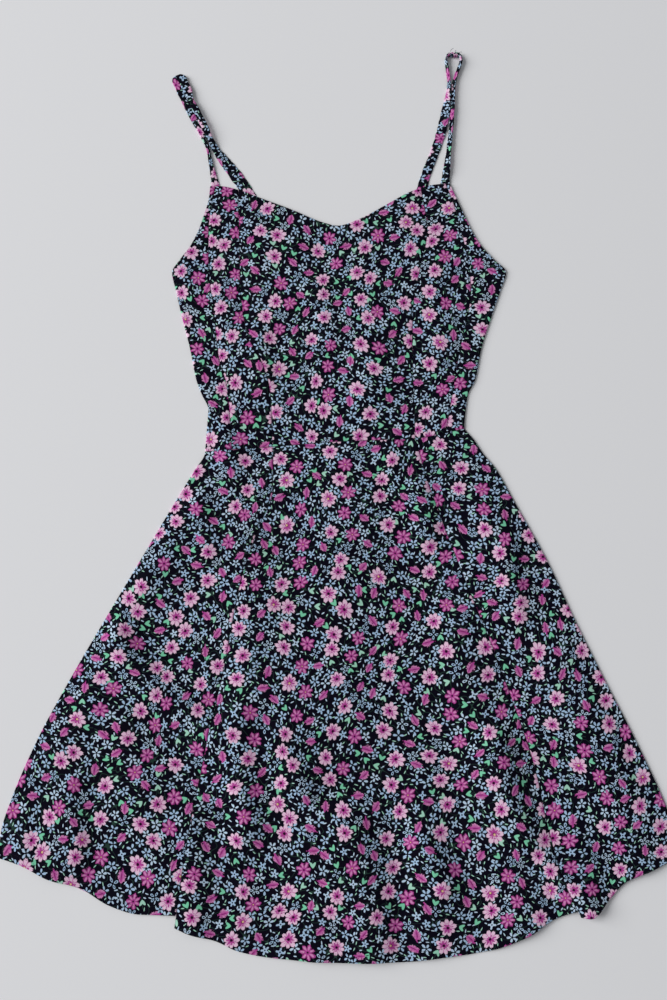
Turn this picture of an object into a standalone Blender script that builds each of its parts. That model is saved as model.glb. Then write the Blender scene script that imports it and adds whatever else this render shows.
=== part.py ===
"""A sleeveless sundress lying flat on its back on a surface.

The front layer lies on the back layer. X runs across the dress, Y from the hem to the straps, and Z up
from the surface. The origin is under the middle of the dress. Lengths are in millimetres until a point
is made.
"""
import math

import bmesh
import bpy
from mathutils import Vector

MM = 0.001

# Driving dimensions, in millimetres
CLOTH = 1.2
LAYER_GAP = 0.3
SEAM_GAP = 0.3
EDGE_TURN = 1.2
BACK_INSET = 2.0
UNDERARM_Y = 244
BACK_TOP_Y = 255
FOLD_LIMIT = 6.5
FOLD_FADE = 26
STRAP_FLOOR_GAP = 0.1
FRONT_Z = CLOTH + LAYER_GAP + CLOTH / 2
BACK_Z = CLOTH / 2

# Outline of both sides, from the shoulder corners to the hem's corners
# height, left side, right side
SIDES = (
    (358, -160, 132),
    (337, -162, 141),
    (318, -167, 149),
    (299, -173, 157),
    (279, -182, 168),
    (260, -195, 184),
    (UNDERARM_Y, -204, 198),
    (222, -199, 191),
    (185, -190, 178),
    (148, -180, 166),
    (111, -172, 158),
    (93, -165, 149),
    (75, -157, 146),
    (54, -158, 144),
    (38, -159, 155),
    (22, -160, 165),
    (3, -171, 180),
    (-33, -192, 199),
    (-102, -231, 235),
    (-171, -270, 265),
    (-238, -307, 296),
    (-303, -340, 327),
    (-368, -366, 355),
    (-400, -375, 366),
    (-430, -377.7, 381),
)

# Heights at which the bodice is divided, from the waist up: at its left side, at its right side
BODICE_LEVELS = (
    (24, 52),
    (38, 58),
    (54, 66),
    (75, 77),
    (93, 93),
    (111, 111),
    (148, 148),
    (185, 185),
    (222, 222),
    (234, 234),
    (UNDERARM_Y, UNDERARM_Y),
    (BACK_TOP_Y, BACK_TOP_Y),
    (279, 279),
    (299, 299),
    (318, 318),
    (337, 337),
    (354, 358),
)

# Curves across the dress: distance across, height
NECKLINE = (
    (-162, 354),
    (-149, 354),
    (-128, 350),
    (-102, 340),
    (-57, 322),
    (-22, 307),
    (-4, 303),
    (18, 310),
    (56, 331),
    (87, 348),
    (113, 356),
    (134, 358),
)
WAIST = (
    (-162, 24),
    (-81, 30),
    (-2, 36),
    (86, 40),
    (146, 52),
)
HEM_LEFT = (
    (-378, -428),
    (-353, -436),
    (-319, -451),
    (-286, -460),
    (-253, -478),
    (-220, -487),
    (-181, -488),
)
HEM_CENTRE = (
    (-181, -501),
    (-168, -506),
    (-138, -514),
    (-111, -525),
    (-67, -532),
    (0, -535),
    (62, -535),
    (105, -531),
    (158, -524),
    (200, -509),
    (229, -492),
    (258, -482),
)
HEM_RIGHT = (
    (257, -489),
    (268, -490),
    (288, -473),
    (309, -453),
    (335, -442),
    (378, -423),
)
HEM_BACK = (
    (-376, -424),
    (-319, -447),
    (-253, -473),
    (-181, -484),
    (-111, -519),
    (0, -530),
    (105, -526),
    (200, -503),
    (258, -478),
    (309, -448),
    (376, -418),
)

# Seams down the dress: height, distance across
SIDE_SEAM_LEFT = (
    (354, -154),
    (300, -161),
    (250, -160),
    (200, -153),
    (140, -146),
    (100, -135),
    (26, -128),
)
SIDE_SEAM_RIGHT = (
    (358, 127),
    (330, 137),
    (300, 144),
    (255, 153),
    (225, 155),
    (140, 139),
    (47, 122),
)
PRINCESS_LEFT = (
    (350, -126),
    (300, -124),
    (222, -121),
    (165, -112),
    (133, -95),
    (93, -84),
    (30, -81),
)
PRINCESS_RIGHT = (
    (352, 97),
    (299, 104),
    (250, 95),
    (205, 86),
    (151, 84),
    (40, 86),
)
SKIRT_SEAM_LEFT = (
    (30, -80),
    (-21, -80),
    (-68, -97),
    (-139, -118),
    (-224, -133),
    (-285, -146),
    (-400, -168),
    (-495, -181),
)
SKIRT_SEAM_RIGHT = (
    (41, 86),
    (-2, 97),
    (-50, 113),
    (-131, 143),
    (-240, 184),
    (-339, 215),
    (-402, 227),
    (-450, 240),
    (-488, 257),
)

# Lowest level that the skirt's front and back pieces share at each line: left side, both seams, right side
SKIRT_LOWEST = (-405, -464, -458, -398)

# Largest soft ridges of the front: start across, start height, end across, end height, half width, height
FOLDS = (
    (-196, -50, -318, -330, 26, 3.4),
    (-262, -250, -200, -440, 30, 4.6),
    (-120, -70, -60, -330, 34, 4.0),
    (-40, -300, -22, -530, 30, 5.2),
    (-12, 0, 6, -290, 40, 2.6),
    (128, -180, 196, -500, 24, 4.6),
    (240, -210, 330, -440, 28, 4.4),
    (170, -60, 188, -200, 28, 2.8),
    (-166, -385, -164, -515, 15, 4.4),
    (254, -400, 274, -495, 15, 4.0),
    (88, -330, 96, -530, 26, 2.6),
    (-310, -360, -322, -450, 20, 3.0),
    (22, 250, 34, 90, 30, 2.6),
    (-92, 300, -84, 190, 20, 2.0),
    (-48, 285, -58, 180, 18, 1.8),
    (76, 290, 66, 180, 20, 1.8),
    (118, 250, 112, 140, 16, 2.0),
    (-150, 230, -120, 120, 16, 1.8),
)

# Straps, from the end sewn behind the front to the end at the back's top edge
# across, height, clear below, width, thickness, lean in degrees, direction across in degrees
STRAP_LEFT_UP = (
    (-151.5, 336, 0, 13, 1.1, 0, 6),
    (-153.5, 357, 0, 11, 1.1, 0, 7),
    (-157.5, 375, 0, 9, 2.2, 0, 10),
    (-163.0, 396, 0, 5.5, 3.0, 0, 14),
    (-167.5, 412, 0, 5.5, 3.0, 0, 20),
    (-173.5, 427, 0, 7.0, 2.8, 0, 26),
    (-181.0, 441, 0, 9.0, 2.2, 0, 27),
    (-189.0, 457, 0, 9.0, 2.2, 0, 26),
    (-194.5, 471, 0, 9.5, 2.0, 0, 25),
    (-200.0, 485, 0, 12, 1.6, 0, 26),
    (-203.5, 495, 0, 12.5, 1.5, 0, 27),
)
STRAP_LEFT_DOWN = (
    (-200.5, 495, 2.0, 12.5, 1.5, 0, 27),
    (-194.5, 483, 2.2, 12, 1.6, 0, 27),
    (-187.5, 469, 2.8, 9.5, 2.0, 0, 27),
    (-181.0, 456, 3.0, 9.0, 2.2, 0, 27),
    (-173.5, 442, 3.4, 9.0, 2.2, 0, 28),
    (-166.5, 428, 3.6, 8.5, 2.3, 0, 30),
    (-160.5, 414, 2.4, 8.0, 2.3, 0, 33),
    (-154.0, 402, 0.3, 9.5, 2.0, 0, 36),
    (-145.0, 389, 0, 13, 1.4, 0, 37),
    (-132.0, 371, 0, 14, 1.2, 0, 37),
    (-117.0, 350, 0, 14, 1.1, 0, 36),
    (-98.0, 318, 0, 14, 1.1, 0, 30),
    (-80.0, 288, 0, 14, 1.1, 0, 18),
    (-75.0, 272, 0, 14, 1.1, 0, 6),
    (-74.0, 264, 0, 14, 1.1, 0, 0),
    (-74.0, 260, 0, 14, 1.1, 0, 0),
    (-74.0, BACK_TOP_Y + 0.3, 0, 14, 1.1, 0, 0),
)
STRAP_RIGHT_UP = (
    (125.0, 338, 0, 13, 1.1, 0, -5),
    (127.0, 360, 0, 11, 1.1, 0, -5),
    (129.3, 379, 0, 11, 1.4, 42, -5),
    (132.0, 400, 0, 11, 1.5, 62, -5),
    (135.0, 425, 0, 11, 1.5, 66, -5),
    (137.3, 445, 0, 11, 1.5, 66, -4),
    (138.8, 470, 0, 10.5, 1.5, 70, -3),
    (139.8, 490, 0, 10, 1.5, 78, -8),
    (143.2, 505, 0, 9.5, 1.6, 84, -20),
    (148.2, 517, 0, 9, 2.0, 90, -10),
    (149.6, 526, 0, 9, 2.6, 90, 0),
    (146.8, 531.6, 0, 9, 3.0, 90, 0),
    (141.0, 533.4, 0, 9, 3.2, 90, 0),
    (135.2, 531.8, 0, 9, 2.8, 90, 0),
    (132.2, 526, 0, 9, 2.2, 90, 0),
    (132.9, 515, 0, 9.5, 1.7, 88, -5),
    (134.9, 502, 0, 9.5, 1.6, 84, -8),
    (134.6, 488, 0, 10, 1.5, 76, -10),
    (132.0, 474, 0, 11, 1.5, 60, -12),
    (128.4, 456, 0, 11.5, 1.5, 32, -14),
    (125.0, 438, 0, 12, 1.5, 14, -15),
    (121.0, 420, 0, 12.5, 1.4, 4, -17),
    (115.5, 400, 0, 13, 1.3, 0, -20),
    (107.5, 378, 0, 13, 1.2, 0, -20),
    (99.5, 355, 0, 14, 1.1, 0, -18),
    (91.0, 325, 0, 14, 1.1, 0, -15),
    (84.0, 292, 0, 14, 1.1, 0, -12),
    (81.5, 272, 0, 14, 1.1, 0, -3),
    (81.0, 264, 0, 14, 1.1, 0, 0),
    (81.0, 260, 0, 14, 1.1, 0, 0),
    (81.0, BACK_TOP_Y + 0.3, 0, 14, 1.1, 0, 0),
)

# Section of a strap as shares of its width and its thickness
STRAP_SECTION = (
    (0.5, 0),
    (0.42, 0.5),
    (0, 0.5),
    (-0.42, 0.5),
    (-0.5, 0),
    (-0.42, -0.5),
    (0, -0.5),
    (0.42, -0.5),
)

# How the front is turned down over the back at the side seams: distance in from the edge, drop
TURNED_EDGE = (
    (0.0, 1.5 * EDGE_TURN),
    (0.12, 0.8 * EDGE_TURN),
    (0.45, 0.3 * EDGE_TURN),
)
TURN_TOP_Y = UNDERARM_Y + 4
TURN_BLEND = 12

# How finely the pieces are divided
BACK_BODICE_COLUMNS = 6
BACK_SKIRT_COLUMNS = 12
SKIRT_ROWS = 20
STRAP_STEPS = 2
NOSE_STEPS = 5
NOSE_REACH = 3.0
MEETING_STEPS = 30

PRINT_GROUND = (0.075, 0.045, 0.095, 1.0)
PRINT_GROUND_BACK = (0.055, 0.036, 0.075, 1.0)
STRAP_GROUND = (0.065, 0.040, 0.085, 1.0)
CLOTH_ROUGHNESS = 0.85


def clear_scene():
    for item in list(bpy.data.objects):
        bpy.data.objects.remove(item, do_unlink=True)


def smooth_step(value):
    value = min(max(value, 0.0), 1.0)
    return value * value * (3.0 - 2.0 * value)


def slope_at(rows, index):
    """Slope of a table's second column by its first, flat where the column turns back."""
    if index == 0 or index == len(rows) - 1:
        near = 1 if index == 0 else len(rows) - 2
        return (rows[near][1] - rows[index][1]) / (rows[near][0] - rows[index][0])
    before = (rows[index][1] - rows[index - 1][1]) / (rows[index][0] - rows[index - 1][0])
    after = (rows[index + 1][1] - rows[index][1]) / (rows[index + 1][0] - rows[index][0])
    if before * after <= 0:
        return 0.0
    return 2.0 * before * after / (before + after)


def curve(rows):
    """Smooth function through the rows of a two-column table, straight beyond its ends."""
    rows = sorted(rows)
    slopes = [slope_at(rows, index) for index in range(len(rows))]

    def value_at(place):
        if place <= rows[0][0]:
            return rows[0][1] + slopes[0] * (place - rows[0][0])
        if place >= rows[-1][0]:
            return rows[-1][1] + slopes[-1] * (place - rows[-1][0])
        index = max(i for i in range(len(rows) - 1) if rows[i][0] <= place)
        span = rows[index + 1][0] - rows[index][0]
        part = (place - rows[index][0]) / span
        rise = smooth_step(part)
        lift_start = part * (1.0 - part) ** 2 * span * slopes[index]
        lift_end = part * part * (1.0 - part) * span * slopes[index + 1]
        return rows[index][1] * (1.0 - rise) + rows[index + 1][1] * rise + lift_start - lift_end

    return value_at


left_side = curve([(row[0], row[1]) for row in SIDES])
right_side = curve([(row[0], row[2]) for row in SIDES])


def fold_height(across, height):
    """Height of the front's soft ridges over its lowest lie, fading out towards the sides."""
    total = 0.0
    for start_x, start_y, end_x, end_y, half_width, ridge in FOLDS:
        run = Vector((end_x - start_x, end_y - start_y))
        offset = Vector((across - start_x, height - start_y))
        along = offset.dot(run) / run.length_squared
        nearest = run * min(max(along, 0.0), 1.0)
        distance = (offset - nearest).length / half_width
        total += ridge * math.exp(-distance * distance)
    from_side = min(across - left_side(height), right_side(height) - across)
    lift = FOLD_LIMIT * math.tanh(total / FOLD_LIMIT)
    return lift * smooth_step(from_side / FOLD_FADE)


def meeting(edge, across_edge):
    """Height at which an edge down the dress meets an edge across it."""
    height = across_edge(edge(0))
    for _ in range(MEETING_STEPS):
        height = across_edge(edge(height))
    return height


def edge_columns(left, right, columns, turned):
    """Places across a row, and how far each is turned down at a side edge."""
    start = left + (EDGE_TURN if turned == "left" else 0.0)
    end = right - (EDGE_TURN if turned == "right" else 0.0)
    places = [(start + (end - start) * column / columns, 0.0) for column in range(columns + 1)]
    if turned == "left":
        places = [(left + step, drop) for step, drop in TURNED_EDGE] + places
    if turned == "right":
        places += [(right - step, drop) for step, drop in reversed(TURNED_EDGE)]
    return places


def mix(first, second, share):
    return first * (1.0 - share) + second * share


def panel_place(edges, levels, row, share):
    """Height of a point of a panel: level between its two edges, bent to its bottom and top edges."""
    left, right, bottom, top = edges
    (left_low, right_low), (left_high, right_high) = levels[0], levels[-1]
    left_height, right_height = levels[row]
    climb = mix((left_height - left_low) / (left_high - left_low),
                (right_height - right_low) / (right_high - right_low), share)
    below = bottom(mix(left(left_low), right(right_low), share)) - mix(left_low, right_low, share)
    above = top(mix(left(left_high), right(right_high), share)) - mix(left_high, right_high, share)
    return mix(left_height, right_height, share) + mix(below, above, climb)


def cloth_panel(name, edges, levels, columns, base, turned="", folded=True):
    """One cut piece as a grid between its left, right, bottom and top edges, given its wall by Solidify."""
    left, right = edges[:2]
    mesh = bpy.data.meshes.new(name)
    work = bmesh.new()
    grid = []
    for row, (left_height, right_height) in enumerate(levels):
        start = left(left_height)
        end = right(right_height)
        line = []
        for across, drop in edge_columns(start, end, columns, turned):
            height = panel_place(edges, levels, row, (across - start) / (end - start))
            lift = fold_height(across, height) if folded else 0.0
            seamed = smooth_step((TURN_TOP_Y - height) / TURN_BLEND)
            line.append(work.verts.new(Vector((across, height, base + lift - drop * seamed)) * MM))
        grid.append(line)
    for lower, upper in zip(grid, grid[1:]):
        for index in range(len(lower) - 1):
            work.faces.new((lower[index], lower[index + 1], upper[index + 1], upper[index]))
    work.to_mesh(mesh)
    work.free()
    panel = bpy.data.objects.new(name, mesh)
    wall = panel.modifiers.new("wall", "SOLIDIFY")
    wall.thickness = CLOTH * MM
    wall.offset = 0.0
    wall.use_even_offset = True
    return panel


def shifted(edge, distance):
    return lambda place: edge(place) + distance


def smooth_rows(rows, steps):
    """Rows of a table with steps added between them on a smooth run."""
    result = []
    for index in range(len(rows) - 1):
        before = rows[max(index - 1, 0)]
        start = rows[index]
        end = rows[index + 1]
        after = rows[min(index + 2, len(rows) - 1)]
        for step in range(steps):
            part = step / steps
            result.append(tuple(
                0.5 * (2 * b + (c - a) * part + (2 * a - 5 * b + 4 * c - d) * part ** 2
                       + (3 * b - a - 3 * c + d) * part ** 3)
                for a, b, c, d in zip(before, start, end, after)))
    result.append(rows[-1])
    return result


def strap_section(row):
    """Centre, side direction, width and thickness of the strap at one row of its table."""
    across, height, clear, width, thickness, lean, direction = row
    lean = math.radians(max(lean, 0.0))
    direction = math.radians(direction)
    raised = width / 2 * math.sin(lean) + thickness / 2 * math.cos(lean)
    centre = Vector((across, height, STRAP_FLOOR_GAP + max(clear, 0.0) + raised))
    flat = math.cos(lean)
    side = Vector((math.cos(direction) * flat, math.sin(direction) * flat, math.sin(lean)))
    return centre, side, width, thickness


def fold_sections(below, above):
    """Sections of the tight fold where the strap turns back over itself."""
    centre_below, side, width, thickness = below
    centre_above = above[0]
    forward = Vector((-side.y, side.x, 0.0))
    middle = (centre_below + centre_above) / 2
    radius = (centre_above.z - centre_below.z) / 2
    shift = (centre_above - centre_below) / 2
    sections = []
    for step in range(1, NOSE_STEPS + 1):
        angle = math.pi * (step / (NOSE_STEPS + 1) - 0.5)
        slide = Vector((shift.x, shift.y, 0.0)) * math.sin(angle)
        rise = Vector((0.0, 0.0, radius * math.sin(angle)))
        centre = middle + slide + rise + forward * NOSE_REACH * math.cos(angle)
        sections.append((centre, side, width, thickness))
    return sections


def strap(name, sections):
    """One strap lofted through its sections, closed at both ends."""
    outline = STRAP_SECTION
    mesh = bpy.data.meshes.new(name)
    work = bmesh.new()
    rings = []
    for index, (centre, side, width, thickness) in enumerate(sections):
        before = sections[max(index - 1, 0)][0]
        after = sections[min(index + 1, len(sections) - 1)][0]
        along = (after - before).normalized()
        face = side.cross(along).normalized()
        ring = [work.verts.new((centre + side * a * width + face * b * thickness) * MM) for a, b in outline]
        rings.append(ring)
    for lower, upper in zip(rings, rings[1:]):
        for index in range(len(outline)):
            after = (index + 1) % len(outline)
            work.faces.new((lower[index], lower[after], upper[after], upper[index]))
    work.faces.new(rings[0])
    work.faces.new(tuple(reversed(rings[-1])))
    bmesh.ops.recalc_face_normals(work, faces=work.faces)
    work.to_mesh(mesh)
    work.free()
    return bpy.data.objects.new(name, mesh)


def finish(item, colour, collection):
    material = bpy.data.materials.new(item.name)
    material.use_nodes = True
    shader = material.node_tree.nodes["Principled BSDF"]
    shader.inputs["Base Color"].default_value = colour
    shader.inputs["Roughness"].default_value = CLOTH_ROUGHNESS
    shader.inputs["Metallic"].default_value = 0.0
    item.data.materials.append(material)
    item.data.shade_smooth()
    collection.objects.link(item)


def bodice_levels(edge, bottom, top, side):
    """Heights of the rows where they meet one edge of a bodice piece."""
    low = meeting(edge, bottom)
    high = meeting(edge, top)
    first = BODICE_LEVELS[0][side]
    last = BODICE_LEVELS[-1][side]
    return [mix(low, high, (level[side] - first) / (last - first)) for level in BODICE_LEVELS]


def skirt_levels(edge, hem, waist, lowest):
    """Heights of the rows where they meet one edge of a skirt piece."""
    high = meeting(edge, waist)
    return [meeting(edge, hem)] + [mix(lowest, high, row / (SKIRT_ROWS - 1)) for row in range(SKIRT_ROWS)]


def build_front(collection):
    half = SEAM_GAP / 2
    waist = curve(WAIST)
    neckline = curve(NECKLINE)
    left_edge = shifted(left_side, CLOTH / 2)
    right_edge = shifted(right_side, -CLOTH / 2)
    seams = [curve(rows) for rows in (SIDE_SEAM_LEFT, PRINCESS_LEFT, PRINCESS_RIGHT, SIDE_SEAM_RIGHT)]
    lines = [left_edge] + seams + [right_edge]
    heights = [bodice_levels(line, waist, neckline, int(index > 2)) for index, line in enumerate(lines)]
    # name, columns, side that is turned down
    bodice = (
        ("bodice_side_left", 3, "left"),
        ("bodice_front_left", 4, ""),
        ("bodice_front_centre", 15, ""),
        ("bodice_front_right", 4, ""),
        ("bodice_side_right", 3, "right"),
    )
    for index, (name, columns, turned) in enumerate(bodice):
        left = shifted(lines[index], 0 if turned == "left" else half)
        right = shifted(lines[index + 1], 0 if turned == "right" else -half)
        edges = (left, right, shifted(waist, half), neckline)
        levels = list(zip(heights[index], heights[index + 1]))
        finish(cloth_panel(name, edges, levels, columns, FRONT_Z, turned), PRINT_GROUND, collection)
    lines = [left_edge, curve(SKIRT_SEAM_LEFT), curve(SKIRT_SEAM_RIGHT), right_edge]
    # name, hem, columns, side that is turned down
    skirt = (
        ("skirt_front_left", curve(HEM_LEFT), 11, "left"),
        ("skirt_front_centre", curve(HEM_CENTRE), 23, ""),
        ("skirt_front_right", curve(HEM_RIGHT), 9, "right"),
    )
    for index, (name, hem, columns, turned) in enumerate(skirt):
        left = shifted(lines[index], 0 if turned == "left" else half)
        right = shifted(lines[index + 1], 0 if turned == "right" else -half)
        edges = (left, right, hem, shifted(waist, -half))
        levels = list(zip(skirt_levels(lines[index], hem, waist, SKIRT_LOWEST[index]),
                          skirt_levels(lines[index + 1], hem, waist, SKIRT_LOWEST[index + 1])))
        finish(cloth_panel(name, edges, levels, columns, FRONT_Z, turned), PRINT_GROUND, collection)


def build_back(collection):
    half = SEAM_GAP / 2
    waist = curve(WAIST)
    hem = curve(HEM_BACK)
    left_edge = shifted(left_side, BACK_INSET)
    right_edge = shifted(right_side, -BACK_INSET)
    levels = [level for level in BODICE_LEVELS if level[0] <= BACK_TOP_Y]
    edges = (left_edge, right_edge, shifted(waist, half), lambda place: BACK_TOP_Y)
    bodice = cloth_panel("bodice_back", edges, levels, BACK_BODICE_COLUMNS, BACK_Z, folded=False)
    levels = list(zip(skirt_levels(left_edge, hem, waist, SKIRT_LOWEST[0]),
                      skirt_levels(right_edge, hem, waist, SKIRT_LOWEST[-1])))
    edges = (left_edge, right_edge, hem, shifted(waist, -half))
    skirt = cloth_panel("skirt_back", edges, levels, BACK_SKIRT_COLUMNS, BACK_Z, folded=False)
    finish(bodice, PRINT_GROUND_BACK, collection)
    finish(skirt, PRINT_GROUND_BACK, collection)


def build_straps(collection):
    left_up = [strap_section(row) for row in smooth_rows(STRAP_LEFT_UP, STRAP_STEPS)]
    left_down = [strap_section(row) for row in smooth_rows(STRAP_LEFT_DOWN, STRAP_STEPS)]
    tip = fold_sections(left_up[-1], left_down[0])
    right = [strap_section(row) for row in smooth_rows(STRAP_RIGHT_UP, STRAP_STEPS)]
    finish(strap("strap_left", left_up + tip + left_down), STRAP_GROUND, collection)
    finish(strap("strap_right", right), STRAP_GROUND, collection)


def main():
    clear_scene()
    collection = bpy.data.collections.new("sundress")
    bpy.context.scene.collection.children.link(collection)
    build_back(collection)
    build_front(collection)
    build_straps(collection)


main()
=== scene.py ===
# %% [markdown]
# # A sundress laid flat on a pale surface
# The real thing is twelve pieces of thin printed cloth: five for the front bodice, three for the front
# skirt, two for the back, and two straps. It lies on its back, so the front layer rests on the back layer.
# A cloth simulation could drop it on the floor, but it would not land in the creases that are wanted.
# Here every piece is a thin shell drawn between its own seams, and the creases are placed one by one.

# %% Load the imported model
import math

import bmesh
import bpy
import numpy as np
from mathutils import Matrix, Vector
from mathutils.bvhtree import BVHTree


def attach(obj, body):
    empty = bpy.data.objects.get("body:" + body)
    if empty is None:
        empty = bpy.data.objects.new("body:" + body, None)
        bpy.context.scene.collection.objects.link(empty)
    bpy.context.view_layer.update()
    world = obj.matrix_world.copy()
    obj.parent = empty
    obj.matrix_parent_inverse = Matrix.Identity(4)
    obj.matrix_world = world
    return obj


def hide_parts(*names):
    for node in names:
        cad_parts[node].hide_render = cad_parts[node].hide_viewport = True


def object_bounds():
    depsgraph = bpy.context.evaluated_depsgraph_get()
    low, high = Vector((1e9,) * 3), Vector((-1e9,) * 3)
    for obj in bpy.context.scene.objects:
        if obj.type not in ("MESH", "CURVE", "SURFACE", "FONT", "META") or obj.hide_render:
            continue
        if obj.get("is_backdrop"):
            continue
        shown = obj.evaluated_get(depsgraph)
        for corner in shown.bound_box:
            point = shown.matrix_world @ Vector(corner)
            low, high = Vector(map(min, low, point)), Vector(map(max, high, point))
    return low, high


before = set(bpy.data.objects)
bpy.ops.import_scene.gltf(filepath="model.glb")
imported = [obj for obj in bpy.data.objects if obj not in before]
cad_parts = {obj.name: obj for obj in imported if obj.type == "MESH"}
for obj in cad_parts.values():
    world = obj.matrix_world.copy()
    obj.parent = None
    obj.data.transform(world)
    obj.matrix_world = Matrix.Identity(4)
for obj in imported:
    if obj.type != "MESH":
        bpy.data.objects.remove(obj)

MM = 0.001
TAU = 2.0 * math.pi
cad_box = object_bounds()
print("CAD nodes:", len(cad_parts), "box in metres:", [round(side, 4) for side in cad_box[1] - cad_box[0]])

# %% [markdown]
# ## The camera
# The dress is seen from above, from over its skirt. The view is a little short of straight down, and near
# enough for the hem to look wider than the bodice. A perspective camera with the same height and tilt gives
# the same widening, which a flat, parallel view would lose.

# %% Camera
# millimetres, degrees from straight down, and millimetres of lens
CAMERA_PLACE = (-9.7, -185.1, 1032.8)
CAMERA_TILT = 8.4
CAMERA_LENS = 32.4


def placed(name, data):
    """An object with that name and data, put in the scene at the origin."""
    item = bpy.data.objects.new(name, data)
    bpy.context.scene.collection.objects.link(item)
    return item


camera = placed("camera", bpy.data.cameras.new("camera"))
camera.location = Vector(CAMERA_PLACE) * MM
camera.rotation_euler = (math.radians(CAMERA_TILT), 0.0, 0.0)
camera.data.lens = CAMERA_LENS
bpy.context.scene.camera = camera
print("camera height in metres:", round(camera.location.z, 3))

# %% [markdown]
# ## Reading a table as a smooth edge
# A pattern cutter marks a few points of an edge and joins them with a curved ruler. The function below
# does the same for a table of points, and it never swings out past them as a plain spline can.

# %% Curved ruler
# rounds in which the meeting point of two edges is closed in on
MEETING_STEPS = 30


def smooth(part):
    """0 below 0, 1 above 1, and a soft rise between them."""
    part = np.clip(part, 0.0, 1.0)
    return part * part * (3.0 - 2.0 * part)


def curve(rows):
    """Smooth function through the rows of a two-column table, straight beyond its ends."""
    rows = sorted(rows)
    places = np.array([row[0] for row in rows], float)
    values = np.array([row[1] for row in rows], float)
    steps = np.diff(values) / np.diff(places)
    slopes = np.concatenate([steps[:1], np.zeros(len(rows) - 2), steps[-1:]])
    for index in range(1, len(rows) - 1):
        before, after = steps[index - 1], steps[index]
        if before * after > 0:
            slopes[index] = 2.0 * before * after / (before + after)

    def value_at(place):
        place = np.asarray(place, float)
        index = np.clip(np.searchsorted(places, place, side="right") - 1, 0, len(rows) - 2)
        span = places[index + 1] - places[index]
        part = (place - places[index]) / span
        inside = np.clip(part, 0.0, 1.0)
        rise = smooth(inside)
        start = inside * (1.0 - inside) ** 2 * span * slopes[index]
        end = inside ** 2 * (1.0 - inside) * span * slopes[index + 1]
        beyond = (part - inside) * span * np.where(part < 0, slopes[index], slopes[index + 1])
        return values[index] * (1.0 - rise) + values[index + 1] * rise + start - end + beyond

    return value_at


def meeting(edge, across_edge):
    """Height at which an edge down the dress meets an edge across it."""
    height = 0.0
    for _ in range(MEETING_STEPS):
        height = float(across_edge(edge(height)))
    return height


# %% [markdown]
# ## The outline and the seams
# These tables are the paper pattern. Lengths are in millimetres, across from the middle of the dress, and
# up from the middle of its length. The hem has a step at each skirt seam, where one piece has slipped
# under its neighbour, so the hem is three curves and not one.

# %% Outline
# height, left side, right side
SIDES = (
    (358, -160, 132), (337, -162, 141), (318, -167, 149), (299, -173, 157), (279, -182, 168),
    (260, -195, 184), (244, -204, 198), (222, -199, 191), (185, -190, 178), (148, -180, 166),
    (111, -172, 158), (93, -165, 149), (75, -157, 146), (54, -158, 144), (38, -159, 155),
    (22, -160, 165), (3, -171, 180), (-33, -192, 199), (-102, -231, 235), (-171, -270, 265),
    (-238, -307, 296), (-303, -340, 327), (-368, -366, 355), (-400, -375, 366), (-430, -377.7, 381),
)
# distance across, height
NECKLINE = (
    (-162, 354), (-149, 354), (-128, 350), (-102, 340), (-57, 322), (-22, 307), (-4, 303),
    (18, 310), (56, 331), (87, 348), (113, 356), (134, 358),
)
WAIST = ((-162, 24), (-81, 30), (-2, 36), (86, 40), (146, 52))
HEM_LEFT = (
    (-378, -428), (-353, -436), (-319, -451), (-286, -460), (-253, -478), (-220, -487), (-181, -488),
)
HEM_CENTRE = (
    (-181, -501), (-168, -506), (-138, -514), (-111, -525), (-67, -532), (0, -535),
    (62, -535), (105, -531), (158, -524), (200, -509), (229, -492), (258, -482),
)
HEM_RIGHT = ((257, -489), (268, -490), (288, -473), (309, -453), (335, -442), (378, -423))
HEM_BACK = (
    (-376, -424), (-319, -447), (-253, -473), (-181, -484), (-111, -519), (0, -530),
    (105, -526), (200, -503), (258, -478), (309, -448), (376, -418),
)

left_side = curve([(row[0], row[1]) for row in SIDES])
right_side = curve([(row[0], row[2]) for row in SIDES])
waist, neckline = curve(WAIST), curve(NECKLINE)
print("waist width in mm:", round(float(right_side(54) - left_side(54))))

# %% Seams
# height, distance across
SIDE_SEAM_LEFT = ((354, -154), (300, -161), (250, -160), (200, -153), (140, -146), (100, -135), (26, -128))
SIDE_SEAM_RIGHT = ((358, 127), (330, 137), (300, 144), (255, 153), (225, 155), (140, 139), (47, 122))
PRINCESS_LEFT = ((350, -126), (300, -124), (222, -121), (165, -112), (133, -95), (93, -84), (30, -81))
PRINCESS_RIGHT = ((352, 97), (299, 104), (250, 95), (205, 86), (151, 84), (40, 86))
SKIRT_SEAM_LEFT = (
    (30, -80), (-21, -80), (-68, -97), (-139, -118), (-224, -133), (-285, -146), (-400, -168), (-495, -181),
)
SKIRT_SEAM_RIGHT = (
    (41, 86), (-2, 97), (-50, 113), (-131, 143), (-240, 184),
    (-339, 215), (-402, 227), (-450, 240), (-488, 257),
)
bodice_lines = [left_side] + [
    curve(rows) for rows in (SIDE_SEAM_LEFT, PRINCESS_LEFT, PRINCESS_RIGHT, SIDE_SEAM_RIGHT)
] + [right_side]
skirt_lines = [left_side, curve(SKIRT_SEAM_LEFT), curve(SKIRT_SEAM_RIGHT), right_side]
print("bodice seams:", len(bodice_lines) - 2, "skirt seams:", len(skirt_lines) - 2)

# %% [markdown]
# ## Folds and creases
# Thin cloth on a flat surface keeps soft ridges where it was pushed together, and shallow troughs beside
# them. Each row below is one of them: a line from a start to an end, how far it spreads to each side, and
# how high it stands, which is under zero for a trough. The folds are those of the solid model. The creases
# are only here, since they are too slight or too steep for a rigid solid. A little waviness with no rule to
# it breaks up what is left, and makes the ridges' lines waver, because no real crease runs quite straight.

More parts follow.
